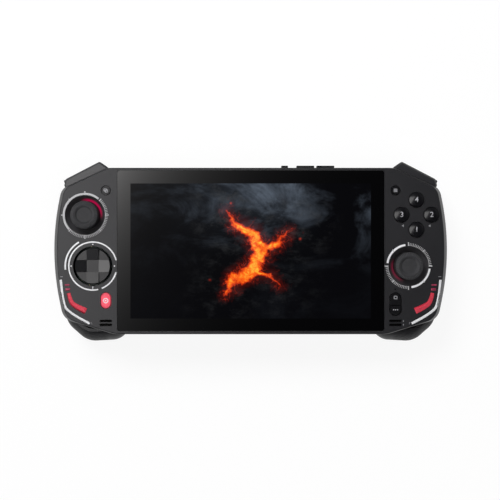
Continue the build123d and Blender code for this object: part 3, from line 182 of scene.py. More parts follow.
class Finish:
    """One material, built from expressions over the piece's own coordinates."""

    def __init__(self, name, base=(0.5, 0.5, 0.5), **constants):
        self.material = bpy.data.materials.new(name)
        self.material.use_nodes = True
        self.tree = self.material.node_tree
        self.shader = self.tree.nodes["Principled BSDF"]
        self.set("Base Color", (*base, 1.0))
        for key, value in constants.items():
            title = "Specular IOR Level" if key == "specular" else key.replace("_", " ").title()
            self.set(title, value)
        place = self.tree.nodes.new("ShaderNodeTexCoord")
        self.place = place.outputs["Object"]
        parts = self.tree.nodes.new("ShaderNodeSeparateXYZ")
        self.tree.links.new(self.place, parts.inputs[0])
        self.x, self.y, self.z = (Amount(self, parts.outputs[i]) for i in range(3))

    def feed(self, socket, value):
        """Link a value to a socket, or set it there."""
        if isinstance(value, Amount):
            value = value.socket
        if isinstance(value, bpy.types.NodeSocket):
            self.tree.links.new(value, socket)
        else:
            socket.default_value = value

    def node(self, kind, settings=None, inputs=None, output=0):
        """Any node, from its type, its settings and the values of its sockets."""
        node = self.tree.nodes.new(kind)
        for name, value in (settings or {}).items():
            if name == "stops":
                self.ramp(node.color_ramp, value)
            else:
                setattr(node, name, value)
        for name, value in (inputs or {}).items():
            self.feed(node.inputs[name], value)
        return Amount(self, node.outputs[output])

    def ramp(self, ramp, stops):
        """Set the places and colours of a colour ramp."""
        while len(ramp.elements) < len(stops):
            ramp.elements.new(1.0)
        for element, (where, shade) in zip(ramp.elements, stops):
            element.position = where
            element.color = (*shade, 1.0)

    def set(self, name, value):
        self.feed(self.shader.inputs[name], value)

    def noise(self, size, detail=3.0, rough=0.5, where=None, warp=0.0):
        """Cloudy pattern whose lumps are about one size across, in metres."""
        return self.node("ShaderNodeTexNoise", None, {
            "Vector": where or self.place, "Scale": 1.0 / size, "Detail": detail, "Roughness": rough,
            "Distortion": warp})

    def cells(self, size, where=None):
        """Distance to the nearest of many scattered points, about one size apart."""
        return self.node("ShaderNodeTexVoronoi", None,
                         {"Vector": where or self.place, "Scale": 1.0 / size})

    def blend(self, share, first, second):
        """Colour between two colours."""
        mix = self.node("ShaderNodeMix", {"data_type": "RGBA"}, {0: share}, 2)
        node = mix.socket.node
        for index, value in ((6, first), (7, second)):
            self.feed(node.inputs[index], (*value, 1.0) if isinstance(value, tuple) else value)
        return mix

    def drifted(self, size, amount):
        """The piece's x and y, pushed about by clouds of one size."""
        push = self.node("ShaderNodeTexNoise", None,
                         {"Vector": self.place, "Scale": 1.0 / size, "Detail": 5.0, "Roughness": 0.62}, 1)
        moved = self.node("ShaderNodeVectorMath", {"operation": "MULTIPLY_ADD"},
                          {0: push, 1: (amount, amount, 0.0), 2: self.place})
        parts = self.tree.nodes.new("ShaderNodeSeparateXYZ")
        self.tree.links.new(moved.socket, parts.inputs[0])
        return [Amount(self, parts.outputs[i]) - amount / 2 for i in range(2)]

    def relief(self, height, depth, strength=1.0):
        """Fine bumps, as deep as depth."""
        self.set("Normal", self.node("ShaderNodeBump", None,
                                     {"Strength": strength, "Distance": depth, "Height": height}))

    def turned(self, turn=(0, 0, 0), scale=(1, 1, 1)):
        """The piece's coordinates, turned and stretched."""
        return self.node("ShaderNodeMapping", None,
                         {"Vector": self.place, "Rotation": turn, "Scale": scale}).socket


def moulded_plastic(name, base, rough, grain=0.35 * MM, depth=0.02 * MM, specular=0.5):
    """Satin plastic with a spark-eroded grain and faint handling marks."""
    finish = Finish(name, base, specular=specular)
    grain_height = finish.noise(grain, 4.0, 0.6)
    smudge = finish.noise(18 * MM, 3.0, 0.55, warp=0.4)
    finish.set("Roughness", rough - 0.05 + 0.09 * smudge + 0.04 * grain_height)
    shade = 0.82 + 0.3 * finish.noise(30 * MM, 2.0)
    darker = tuple(0.8 * c for c in base)
    lighter = tuple(1.2 * c for c in base)
    finish.set("Base Color", finish.blend(shade.rise(0.82, 1.12), darker, lighter))
    finish.relief(grain_height, depth, 0.6)
    return finish


def shell_finish(base):
    """Plastic of both covers, with small dimples where the hands hold the grips."""
    finish = moulded_plastic("satin_shell", base, 0.42, specular=0.36)
    side = abs(finish.x)
    low = finish.z.rise(23.5 * MM, 20.5 * MM)
    grip = side.rise(92.5 * MM, 96.5 * MM) * low
    row = finish.turned(turn=(0, 0, math.radians(45)))
    dimple = finish.cells(1.6 * MM, where=row)
    dome = dimple.rise(0.75, 0.15)
    height = finish.noise(0.35 * MM, 4.0, 0.6) * 0.12 + dome * grip
    finish.relief(height, 0.16 * MM, 0.75)
    finish.set("Roughness", 0.4 + 0.14 * grip + 0.06 * finish.noise(15 * MM, 3.0))
    return finish


def shoulder_finish(base):
    return moulded_plastic("shoulder_plastic", base, 0.36, 0.3 * MM)


def rubber_finish(base):
    """Soft rubber, matt and faintly dusty in cloudy patches."""
    finish = Finish("stick_rubber", base, specular=0.4)
    grain = finish.noise(0.4 * MM, 5.0, 0.65)
    dust = finish.noise(6 * MM, 4.0, 0.6)
    finish.set("Base Color", finish.blend(dust.rise(0.35, 0.8), base, tuple(1.5 * c for c in base)))
    finish.set("Roughness", 0.56 + 0.2 * grain)
    finish.relief(grain, 0.03 * MM, 0.7)
    return finish


def pad_finish(base):
    return moulded_plastic("pad_plastic", base, 0.28, 0.3 * MM, 0.015 * MM, 0.36)


def key_cap_finish(base):
    """Glossy clear-coated dome with faint fingerprints."""
    finish = Finish("face_key_cap", base, coat_roughness=0.13, specular=0.12)
    smudge = finish.noise(2.5 * MM, 4.0, 0.6, warp=1.2)
    finish.set("Roughness", 0.3 + 0.12 * smudge)
    finish.set("Coat Weight", 0.24 + 0.12 * finish.noise(4 * MM))
    finish.set("Base Color", finish.blend(smudge, base, tuple(1.6 * c for c in base)))
    return finish


def home_key_finish(base):
    """Red translucent plastic, lit from below and brightest in the middle."""
    finish = Finish("home_key_red", base, roughness=0.3, emission_strength=1.0)
    middle = middle_of("home_key")
    across = (finish.x - middle.x) / (3.2 * MM)
    along = (finish.y - middle.y) / (4.8 * MM)
    far = (across * across + along * along).root()
    glow = far.rise(1.15, 0.1)
    finish.set("Emission Color", finish.blend(glow, (0.10, 0.008, 0.014), (0.42, 0.06, 0.09)))
    finish.set("Roughness", 0.26 + 0.12 * finish.noise(1.5 * MM))
    finish.relief(finish.noise(0.5 * MM, 3.0), 0.01 * MM, 0.4)
    return finish


def print_finish(name, base, rough=0.45, specular=0.5):
    """Screen print: solid ink with a slightly uneven skin."""
    finish = Finish(name, base, specular=specular)
    skin = finish.noise(0.6 * MM, 3.0, 0.6)
    wear = finish.noise(4 * MM, 4.0, 0.6)
    finish.set("Base Color", finish.blend(wear.rise(0.3, 0.75), tuple(0.9 * c for c in base), base))
    finish.set("Roughness", rough + 0.1 * skin)
    finish.relief(skin, 0.01 * MM, 0.4)
    return finish


def red_print_finish(name, base):
    """Red ink in a stippled pattern."""
    finish = print_finish(name, base, 0.4)
    dots = finish.cells(0.8 * MM)
    tone = finish.blend(dots.rise(0.15, 0.6), base, tuple(1.3 * c for c in base))
    finish.set("Base Color", tone)
    return finish


def light_ring_finish(base, glow):
    """Satin dish round a stick, with red light along one side of its low edge."""
    finish = Finish("light_guide", base, emission_strength=1.0)
    total = None
    for side, aim, spread, level in (("left", 48, 66, 1.0), ("right", 205, 55, 0.3)):
        across = finish.x - STICKS[side].x
        along = finish.y - STICKS[side].y
        direction = math.radians(aim)
        far = (across * across + along * along).root() + 0.01 * MM
        toward = (across * math.cos(direction) + along * math.sin(direction)) / far
        band = toward.rise(math.cos(math.radians(spread)), 1.0) * far.rise(11.4 * MM, 10.0 * MM) * level
        total = band if total is None else total + band
    finish.set("Emission Color", finish.blend(total, (0.0, 0.0, 0.0), glow))
    finish.set("Roughness", 0.36 + 0.12 * finish.noise(1 * MM))
    finish.set("Base Color", finish.blend(total, base, tuple(0.2 * c for c in glow)))
    return finish


PICTURE_HALF = (77.6 * MM, 43.6 * MM)
# Cracks of the rift in the picture: places and half widths in millimetres.
RIFT = (
    ((-15, 27, 0.9), (-11, 18, 2.6), (1, 10, 4.6), (7, 0, 5.8), (1, -11, 5.2), (-10, -18, 3.8),
     (-16, -27, 1.2)),
    ((7, 0, 3.8), (17, 5, 2.6), (25, 14, 0.7)),
    ((1, -11, 3.0), (11, -16, 2.0), (18, -23, 0.6)),
)


def picture_finish(haze, ember):
    """Cover glass over the picture: a glowing rift through dark rock, under drifting smoke."""
    finish = Finish("cover_glass", (0.002, 0.002, 0.0024), roughness=0.3, coat_roughness=0.03,
                    emission_strength=1.0, specular=0.0)
    x, y = finish.x, finish.y
    half_x, half_y = PICTURE_HALF
    soft = 0.2 * MM
    lit = abs(x).rise(half_x + soft, half_x - soft) * abs(y).rise(half_y + soft, half_y - soft)

    wide_x, wide_y = finish.drifted(20 * MM, 14 * MM)
    fine_x, fine_y = finish.drifted(5 * MM, 4.2 * MM)
    u, v = wide_x + fine_x - x, wide_y + fine_y - y
    # Distance to the rift's edge, below zero inside it.
    nearest = None
    for line in RIFT:
        for (x0, y0, w0), (x1, y1, w1) in zip(line, line[1:]):
            x0, y0, w0, x1, y1, w1 = (MM * value for value in (x0, y0, w0, x1, y1, w1))
            run = math.hypot(x1 - x0, y1 - y0) ** 2
            share = (((u - x0) * (x1 - x0) + (v - y0) * (y1 - y0)) / run).larger(0.0).smaller(1.0)
            off_x = u - x0 - share * (x1 - x0)
            off_y = v - y0 - share * (y1 - y0)
            far = (off_x * off_x + off_y * off_y).root() - w0 - share * (w1 - w0)
            nearest = far if nearest is None else nearest.smaller(far)
    churn = finish.noise(3.5 * MM, 5.0, 0.65, warp=0.8)
    core = nearest.rise(0.6 * MM, -3 * MM) * (0.1 + 1.1 * churn) * (0.5 + 1.0 * finish.noise(11 * MM, 2.0))
    skin = finish.noise(9 * MM, 6.0, 0.6, warp=0.5)
    thread = (1.0 - abs(skin - 0.5) * 26).larger(0.0) * nearest.rise(9 * MM, 0.5 * MM)
    glints = finish.cells(9 * MM).rise(0.2, 0.05) * finish.noise(14 * MM, 2.0).rise(0.55, 0.66)
    heat = core.larger(thread * thread * 0.45 * churn) + nearest.rise(6 * MM, -1 * MM) * 0.1
    heat = heat.larger(glints * nearest.rise(30 * MM, 12 * MM) * 0.34)

    # Smoke, thickest at the upper right, over broken rock near the rift.
    cloud = finish.noise(34 * MM, 6.0, 0.62, where=finish.turned(scale=(0.75, 1.2, 1)), warp=0.9)
    wisp = finish.noise(10 * MM, 6.0, 0.68, warp=1.2)
    high = y.rise(-22 * MM, 46 * MM)
    aside = x.rise(-70 * MM, 10 * MM)
    smoke = cloud.rise(0.44, 0.74) * (0.03 + 0.97 * high) * (0.15 + 0.85 * aside)
    smoke = smoke * (1.0 - 0.45 * x.rise(15 * MM, 45 * MM)) * (0.2 + 1.7 * wisp)
    crag = finish.noise(11 * MM, 9.0, 0.74, where=finish.turned(turn=(0, 0, 0.5), scale=(1, 1.5, 1)))
    rubble = crag.rise(0.46, 0.7) * nearest.rise(36 * MM, 2 * MM) * (0.3 + 0.7 * high)
    veil = smoke + 0.16 * high * high * aside * x.rise(50 * MM, 10 * MM)
    ground = finish.blend(veil.smaller(1.0), (0.0009, 0.0009, 0.0014), haze)
    ground = finish.blend(rubble * 0.6, ground, (0.05, 0.052, 0.055))
    flame = finish.node("ShaderNodeValToRGB", {"stops": (
        (0.0, (0.0, 0.0, 0.0)), (0.2, (0.09, 0.004, 0.001)), (0.42, (0.62, 0.035, 0.003)),
        (0.66, ember), (1.0, (1.0, 0.6, 0.05)))}, {"Fac": heat.smaller(1.0)})
    scene = finish.node("ShaderNodeMix", {"data_type": "RGBA", "blend_type": "ADD"}, {0: 1.0}, 2)
    finish.feed(scene.socket.node.inputs[6], ground)
    finish.feed(scene.socket.node.inputs[7], flame)
    finish.set("Emission Color", finish.blend(lit, (0.0, 0.0, 0.0), scene))
    finish.set("Coat Weight", 1.0 - 0.82 * lit)
    return finish


def metal_finish(name, base, rough, along=(1, 1, 12)):
    """Plated or brushed metal with fine drawn lines."""
    finish = Finish(name, base, metallic=1.0)
    lines = finish.noise(0.9 * MM, 4.0, 0.6, where=finish.turned(scale=along))
    finish.set("Roughness", rough + 0.16 * lines)
    finish.set("Base Color", finish.blend(lines, tuple(0.82 * c for c in base), base))
    finish.relief(lines, 0.008 * MM, 0.5)
    return finish


def board_finish(base):
    """Solder mask over fine tracks, with bright pads."""
    finish = Finish("circuit_board", base)
    grid = finish.turned(scale=(1, 1, 0.001))
    track = finish.node("ShaderNodeTexBrick", {"offset": 0.5}, {
        "Vector": grid, "Scale": 260.0, "Mortar Size": 0.06, "Color1": (0, 0, 0, 1),
        "Color2": (0.1, 0.1, 0.1, 1), "Mortar": (1, 1, 1, 1)}, 1)
    pads = finish.cells(3.1 * MM, where=grid).rise(0.14, 0.1)
    tone = finish.blend(track * 0.45, base, tuple(2.0 * c for c in base))
    finish.set("Base Color", finish.blend(pads, tone, (0.55, 0.42, 0.2)))
    finish.set("Metallic", pads)
    finish.set("Roughness", 0.42 + 0.12 * finish.noise(4 * MM))
    finish.relief(track, 0.02 * MM, 0.5)
    return finish


def wrap_finish():
    """Battery wrap: dark film with soft creases."""
    finish = Finish("battery_wrap", (0.03, 0.03, 0.034), specular=0.4)
    crease = finish.noise(6 * MM, 3.0, 0.5, where=finish.turned(scale=(0.3, 1.5, 1)), warp=0.6)
    finish.set("Roughness", 0.3 + 0.15 * crease)
    finish.relief(crease, 0.2 * MM, 0.35)
    return finish


def dark_plastic_finish(name, base, rough):
    """Coarser plastic of the parts inside."""
    return moulded_plastic(name, base, rough, 0.6 * MM, 0.02 * MM)


class Surface:
    """The skin of one CAD node, for laying prints on it."""

    def __init__(self, node):
        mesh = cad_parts[node].data
        mesh.calc_loop_triangles()
        corners = [v.co.copy() for v in mesh.vertices]
        self.tree = BVHTree.FromPolygons(corners, [tuple(t.vertices) for t in mesh.loop_triangles])

    def lay(self, shape, height):
        """Set a flat shape on the skin: what lies above zero stands proud, the rest sinks in."""
        for vert in shape.verts:
            start = Vector((vert.co.x, vert.co.y, 0.1))
            hit = self.tree.ray_cast(start, Vector((0, 0, -1)))[0]
            level = hit.z if hit is not None else FACE_Z
            vert.co.z = level + (height if vert.co.z > 0 else -height)

    def take_print(self, shape, height):
        """Give a flat shape its thickness and set it on the skin."""
        thick(shape)
        self.lay(shape, height)


def thick(shape):
    """Give flat faces at zero a top and a bottom, either side of it."""
    faces = list(shape.faces)
    grown = bmesh.ops.extrude_face_region(shape, geom=faces)
    for item in grown["geom"]:
        if isinstance(item, bmesh.types.BMVert):
            item.co.z += 1e-5
    for vert in shape.verts:
        if vert.co.z <= 0:
            vert.co.z = -1e-5
    bmesh.ops.recalc_face_normals(shape, faces=shape.faces)


def join(whole, part):
    """Add one shape to another."""
    carrier = bpy.data.meshes.new("part")
    part.to_mesh(carrier)
    part.free()
    whole.from_mesh(carrier)
    bpy.data.meshes.remove(carrier)


def ring_part(centre, inner, outer, shape, start=0.0, stop=360.0):
    """Flat arc of a ring, swept from a single edge."""
    turn = math.radians(start)
    aim = Vector((math.cos(turn), math.sin(turn), 0))
    origin = Vector((centre[0], centre[1], 0))
    ends = [shape.verts.new(origin + aim * reach) for reach in (inner, outer)]
    edge = shape.edges.new(ends)
    sweep = math.radians(stop - start)
    whole = abs(stop - start) >= 360
    steps = max(3, round(abs(stop - start) / 3))
    bmesh.ops.spin(shape, geom=[*ends, edge], cent=origin, axis=(0, 0, 1), angle=sweep, steps=steps,
                   use_merge=whole)


def tick(centre, inner, outer, angle, width, shape):
    """Short flat bar across a ring."""
    spot = Matrix.Translation((centre[0], centre[1], 0)) @ Matrix.Rotation(math.radians(angle), 4, "Z")
    size = Matrix.Diagonal((outer - inner, width, 1, 1))
    bmesh.ops.create_grid(shape, x_segments=2, y_segments=1, size=0.5,
                          matrix=spot @ Matrix.Translation(((inner + outer) / 2, 0, 0)) @ size)


def disc(centre, radius, shape, segments=20):
    """Flat round dot."""
    bmesh.ops.create_circle(shape, cap_ends=True, segments=segments, radius=radius,
                            matrix=Matrix.Translation((centre[0], centre[1], 0)))


def bar(centre, across, along, shape, turn=0.0):
    """Flat oblong, turned about its middle."""
    spot = Matrix.Translation((centre[0], centre[1], 0)) @ Matrix.Rotation(math.radians(turn), 4, "Z")
    bmesh.ops.create_grid(shape, x_segments=4, y_segments=4, size=0.5,
                          matrix=spot @ Matrix.Diagonal((across, along, 1, 1)))


def mesh_of(item):
    """Mesh of a curve or text object, which goes again."""
    bpy.context.scene.collection.objects.link(item)
    bpy.context.view_layer.update()
    mesh = bpy.data.meshes.new_from_object(item.evaluated_get(bpy.context.evaluated_depsgraph_get()))
    data = item.data
    bpy.data.objects.remove(item)
    bpy.data.curves.remove(data)
    shape = bmesh.new()
    shape.from_mesh(mesh)
    bpy.data.meshes.remove(mesh)
    return shape


def stroke(name, points, mirrored, smooth):
    """Flat tapering line through places, each with its own width."""
    curve = bpy.data.curves.new(name, "CURVE")
    curve.dimensions = "3D"
    curve.bevel_depth = 0.5
    curve.bevel_resolution = 1
    curve.use_fill_caps = True
    curve.resolution_u = 12
    line = curve.splines.new("NURBS" if smooth else "POLY")
    line.points.add(len(points) - 1)
    for point, (x, y, width) in zip(line.points, points):
        point.co = ((-x if mirrored else x), y, 0, 1)
        point.radius = width
        point.tilt = math.pi / 4
    if smooth:
        line.order_u = 3
        line.use_endpoint_u = True
    return mesh_of(bpy.data.objects.new(name, curve))


def numeral(text, height):
    """Flat outline of a numeral, centred on the origin."""
    words = bpy.data.curves.new("numeral", "FONT")
    words.body = text
    # A numeral stands 0.7 of the type's size high.
    words.size = height / 0.7
    words.align_x = "CENTER"
    words.align_y = "CENTER"
    words.resolution_u = 3
    words.offset = height * 0.012
    return mesh_of(bpy.data.objects.new("numeral", words))


def add_piece(name, shape, finish, body=ROOT):
    """Turn a finished shape into an object that rides on one body."""
    mesh = bpy.data.meshes.new(name)
    shape.to_mesh(mesh)
    shape.free()
    mesh.materials.append(finish)
    piece = bpy.data.objects.new(name, mesh)
    bpy.context.scene.collection.objects.link(piece)
    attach(piece, body)
    return piece


def cover(nodes, finish):
    """Give CAD nodes their finish."""
    for node in nodes:
        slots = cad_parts[node].material_slots
        if not slots:
            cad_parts[node].data.materials.append(finish.material)
        for slot in slots:
            slot.material = finish.material


def colours(context):
    """Colours that the panel shows."""
    return context.scene.console_colours


def sizes(context):
    """Sizes that the panel shows."""
    return context.scene.console_sizes


def ink(name):
    """Material by its name."""
    return bpy.data.materials[name]


class FinishShell(Operator):
    """Finish the covers, bumpers and triggers in satin moulded plastic"""
    bl_idname = "console.finish_shell"
    bl_label = "Covers and shoulders"

    def execute(self, context):
        tone = colours(context)
        cover(("front_cover", "rear_cover"), shell_finish(tuple(tone.shell)))
        cover(both("bumper", "trigger"), shoulder_finish(tuple(tone.shoulder)))
        return {"FINISHED"}


class FinishControls(Operator):
    """Finish sticks, direction pad, keys and light rings"""
    bl_idname = "console.finish_controls"
    bl_label = "Controls"

    def execute(self, context):
        tone = colours(context)
        cover(both("stick_cap"), rubber_finish(tuple(tone.rubber)))
        cover(("direction_pad",), pad_finish(tuple(tone.pad)))
        cover([f"face_key_{number}" for number in range(1, 5)], key_cap_finish(tuple(tone.key)))
        small = moulded_plastic("small_key_plastic", tuple(tone.small_key), 0.26, 0.3 * MM, specular=0.22)
        cover(("view_key", "menu_key", "task_key", "quick_key", "power_key", "volume_up_key",
               "volume_down_key"), small)
        cover(("home_key",), home_key_finish(tuple(tone.home)))
        cover(both("light_ring"), light_ring_finish((0.05, 0.048, 0.052), tuple(tone.glow)))
        return {"FINISHED"}


class FinishDisplay(Operator):
    """Put the picture under the cover glass"""
    bl_idname = "console.finish_display"
    bl_label = "Display"

    def execute(self, context):
        tone = colours(context)
        cover(("display_glass",), picture_finish(tuple(tone.haze), tuple(tone.ember)))
        panel = dark_plastic_finish("panel", (0.02, 0.02, 0.025), 0.3)
        cover(("display_panel",), panel)
        return {"FINISHED"}


class FinishInside(Operator):
    """Finish boards, cooling, battery, motors, sockets and screws"""
    bl_idname = "console.finish_inside"
    bl_label = "Inside parts"

    def execute(self, context):
        tone = colours(context)
        steel = metal_finish("plated_steel", tuple(tone.steel), 0.26)
        cover(("shoulder_pins", "usb_sockets", "card_slot",
               *both("stick_shaft", "trigger_spring", "rumble_motor")), steel)
        cover(("cover_screws",), metal_finish("black_steel", (0.09, 0.09, 0.095), 0.3, (1, 1, 1)))
        cover(both("rumble_weight"), metal_finish("weight_metal", (0.4, 0.39, 0.38), 0.4, (1, 1, 1)))
        cover(("main_board", "solid_state_drive", "edge_key_board", *both("button_board")),
              board_finish(tuple(tone.board)))
        cover(both("key_domes"), metal_finish("dome_steel", (0.7, 0.7, 0.72), 0.15, (1, 1, 1)))
        cover(("mid_frame", "fin_stack"),
              metal_finish("pressed_aluminium", (0.6, 0.61, 0.63), 0.34, (1, 8, 1)))
        cover(("heat_pipe",), metal_finish("bare_copper", tuple(tone.copper), 0.24, (8, 1, 1)))
        cover(("battery",), wrap_finish())
        module = dark_plastic_finish("module_plastic", (0.045, 0.045, 0.05), 0.5)
        cover(("pad_spider", "fan_housing", *both("stick_module", "gimbal_ring", "stick_rocker")), module)
        cover(("fan_rotor",), dark_plastic_finish("rotor_plastic", (0.06, 0.06, 0.066), 0.42))
        cover(("headphone_jack", *both("speaker")),
              dark_plastic_finish("speaker_plastic", (0.012, 0.012, 0.014), 0.45))
        return {"FINISHED"}


class PrintStripes(Operator):
    """Print the white and red stripes round the lower corners"""
    bl_idname = "console.print_stripes"
    bl_label = "Corner stripes"

    def execute(self, context):
        size = sizes(context)
        skin = Surface("front_cover")
        width = size.stripe_width
        # Places along each line on the left side, with its width there.
        white = [(-0.1226, -0.0186, width), (-0.1214, -0.0327, width), (-0.1177, -0.0399, width),
                 (-0.104, -0.0468, width)]
        red = [(-0.11745, -0.0271, 0.0026), (-0.1165, -0.0323, 0.0031), (-0.1132, -0.0357, 0.0039),
               (-0.1063, -0.0388, 0.0047)]
        marks = [[(-0.1230, -0.0166, 0.0004), (-0.1212, -0.0166, 0.0004)],
                 [(-0.1028, -0.0459, 0.0004), (-0.1024, -0.0474, 0.0004)]]
        dashes = [[(-0.12, -0.02195, 0.0012), (-0.1168, -0.02195, 0.0012)],
                  [(-0.1196, -0.0248, 0.0018), (-0.1165, -0.0248, 0.0018)]]
        for side in SIDES:
            mirrored = side == "right"
            for name, finish, lines, smooth in (
                    ("white_stripe", "white_print", [white], True),
                    ("red_stripe", "red_print", [red], True),
                    ("stripe_mark", "grey_print", marks, False),
                    ("red_dash", "dim_red_print", dashes, False)):
                whole = bmesh.new()
                for line in lines:
                    join(whole, stroke(name, line, mirrored, smooth))
                for vert in whole.verts:
                    vert.co.z = 1.0 if vert.co.z > 0 else -1.0
                long_edges = [e for e in whole.edges if e.calc_length() > 3 * MM
                              and abs(e.verts[0].co.z - e.verts[1].co.z) < 1]
                bmesh.ops.subdivide_edges(whole, edges=long_edges, cuts=3)
                skin.lay(whole, size.print_height)
                bmesh.ops.remove_doubles(whole, verts=whole.verts, dist=1e-7)
                bmesh.ops.recalc_face_normals(whole, faces=whole.faces)
                add_piece(f"{side}_{name}", whole, ink(finish))
        return {"FINISHED"}


class PrintStickRings(Operator):
    """Print the ticked rings round both thumb sticks"""
    bl_idname = "console.print_stick_rings"
    bl_label = "Stick rings"

    def execute(self, context):
        size = sizes(context)
        skin = Surface("front_cover")
        inner, outer = 13.05 * MM, 14.35 * MM
        # Stretches of each ring, in degrees.
        bright = {"left": [(50, 222)], "right": [(98.5, 172), (-82, -7)]}
        hatched = {"left": [(226, 404)], "right": [(2, 90), (182, 270)]}
        for side in SIDES:
            spot = STICKS[side]
            band = bmesh.new()
            for start, stop in bright[side]:
                ring_part(spot, inner, outer, band, start, stop)
            skin.take_print(band, size.print_height)
            add_piece(f"{side}_ring_band", band, ink("white_print" if side == "right" else "pale_print"))
            ticks = bmesh.new()
            for start, stop in hatched[side]:
                count = round((stop - start) / 4.5)
                for step in range(count + 1):
                    angle = start + step * (stop - start) / count
                    tick(spot, inner, outer + 0.5 * MM, angle, size.tick_width, ticks)
                ring_part(spot, inner, inner + 0.3 * MM, ticks, start, stop)
            skin.take_print(ticks, size.print_height)
            add_piece(f"{side}_ring_hatch", ticks, ink("tick_print"))
            marks = bmesh.new()
            for eighth in range(8):
                reach = 1.0 * MM if eighth % 2 == 0 else 0.45 * MM
                tick(spot, inner - 0.1 * MM, outer + reach, 45 * eighth, 1.6 * size.tick_width, marks)
            skin.take_print(marks, 1.4 * size.print_height)
            add_piece(f"{side}_ring_marks", marks, ink("pale_print"))
        return {"FINISHED"}


class PrintPadRings(Operator):
    """Print the white rings, dots and outer arc round the direction pad"""
    bl_idname = "console.print_pad_rings"
    bl_label = "Direction pad rings"

    def execute(self, context):
        size = sizes(context)
        skin = Surface("front_cover")
        half = size.ring_width / 2
        middle = 15.5 * MM
        ring = bmesh.new()
        for start, stop in ((14, 283), (292, 345)):
            ring_part(PAD, middle - half, middle + half, ring, start, stop)
        ring_part(PAD, 17.3 * MM, 18.3 * MM, ring, 120, 187.5)
        skin.take_print(ring, size.print_height)
        add_piece("pad_ring", ring, ink("white_print"))
        dots = bmesh.new()
        for angle in (90, 180, 0):
            aim = math.radians(angle)
            disc((PAD.x + 14.0 * MM * math.cos(aim), PAD.y + 14.0 * MM * math.sin(aim)), 0.42 * MM, dots)
        tick(PAD, 13.3 * MM, 14.7 * MM, 270, 0.5 * MM, dots)
        skin.take_print(dots, size.print_height)
        add_piece("pad_marks", dots, ink("white_print"))
        return {"FINISHED"}


class DressSticks(Operator):
    """Ring each stick cap with fine rubber ridges"""
    bl_idname = "console.dress_sticks"
    bl_label = "Stick ridges"

    def execute(self, context):
        count = sizes(context).ridge_count
        for side in SIDES:
            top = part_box(f"{side}_stick_cap")[1].z
            spot = STICKS[side]
            place = Matrix.Translation((7.75 * MM, 0, top - 0.38 * MM))
            lean = Matrix.Rotation(math.radians(14), 4, "Y")
            block = Matrix.Diagonal((1.9 * MM, 0.42 * MM, 0.34 * MM, 1))
            ridge = bmesh.new()
            bmesh.ops.create_cube(ridge, size=1.0, matrix=place @ lean @ block)
            bmesh.ops.bevel(ridge, geom=list(ridge.edges), offset=0.1 * MM, offset_type="OFFSET",
                            affect="EDGES", segments=1, profile=0.5, material=-1)
            bmesh.ops.spin(ridge, geom=[*ridge.faces, *ridge.edges, *ridge.verts], cent=(0, 0, 0),
                           axis=(0, 0, 1), angle=2 * math.pi * (count - 1) / count, steps=count - 1,
                           use_duplicate=True)
            bmesh.ops.translate(ridge, verts=ridge.verts, vec=(spot.x, spot.y, 0))
            add_piece(f"{side}_cap_ridges", ridge, ink("stick_rubber"), f"{side}_stick")
        return {"FINISHED"}


class DressKeys(Operator):
    """Print numerals on the face keys and plain marks on the others"""
    bl_idname = "console.dress_keys"
    bl_label = "Key marks"

    def execute(self, context):
        size = sizes(context)
        for number in range(1, 5):
            node = f"face_key_{number}"
            spot = middle_of(node)
            figure = numeral(str(number), size.numeral_height)
            bmesh.ops.remove_doubles(figure, verts=figure.verts, dist=1e-6)
            long_edges = [e for e in figure.edges if e.calc_length() > 0.5 * MM]
            bmesh.ops.subdivide_edges(figure, edges=long_edges, cuts=4)
            bmesh.ops.translate(figure, verts=figure.verts, vec=(spot.x, spot.y, 0))
            bmesh.ops.triangulate(figure, faces=figure.faces)
            Surface(node).take_print(figure, 1.2 * size.print_height)
            add_piece(f"numeral_{number}", figure, ink("key_print"), node)
        self.mark("view_key", self.view_mark, size)
        self.mark("menu_key", self.menu_mark, size)
        self.mark("task_key", self.task_mark, size)
        self.mark("quick_key", self.quick_mark, size)
        self.mark("home_key", self.home_mark, size, "white_print")
        return {"FINISHED"}

    def mark(self, node, draw, size, finish="key_print"):
        """Print one key's mark."""
        shape = bmesh.new()
        draw(shape, middle_of(node))
        Surface(node).take_print(shape, size.print_height)
        add_piece(f"{node}_mark", shape, ink(finish), node)

    def view_mark(self, shape, spot):
        """Two square outlines, one over the other."""
        for dx, dy in ((-0.35, 0.3), (0.45, -0.4)):
            for way in (-0.75, 0.75):
                bar((spot.x + dx * MM, spot.y + (dy + way) * MM), 1.5 * MM, 0.28 * MM, shape)
            for way in (-0.75, 0.75):
                bar((spot.x + (dx + way) * MM, spot.y + dy * MM), 1.5 * MM, 0.28 * MM, shape, 90)

    def menu_mark(self, shape, spot):
        """Three bars, one under the other."""
        for step in (-1, 0, 1):
            bar((spot.x, spot.y + step * 0.8 * MM), 2.4 * MM, 0.36 * MM, shape)

    def task_mark(self, shape, spot):
        """Square outline."""
        for dx in (-0.95, 0.95):
            bar((spot.x + dx * MM, spot.y + 0.6 * MM), 0.34 * MM, 1.7 * MM, shape)
        for dy in (-0.85, 0.85):
            bar((spot.x, spot.y + (0.6 + dy) * MM), 2.2 * MM, 0.34 * MM, shape)

    def quick_mark(self, shape, spot):
        """Three dots in a row."""
        for dx in (-1.3, 0, 1.3):
            disc((spot.x + dx * MM, spot.y + 0.9 * MM), 0.36 * MM, shape, 14)

    def home_mark(self, shape, spot):
        """Ring with a dot in it."""
        ring_part(spot, 1.15 * MM, 1.7 * MM, shape)
        disc(spot, 0.5 * MM, shape)


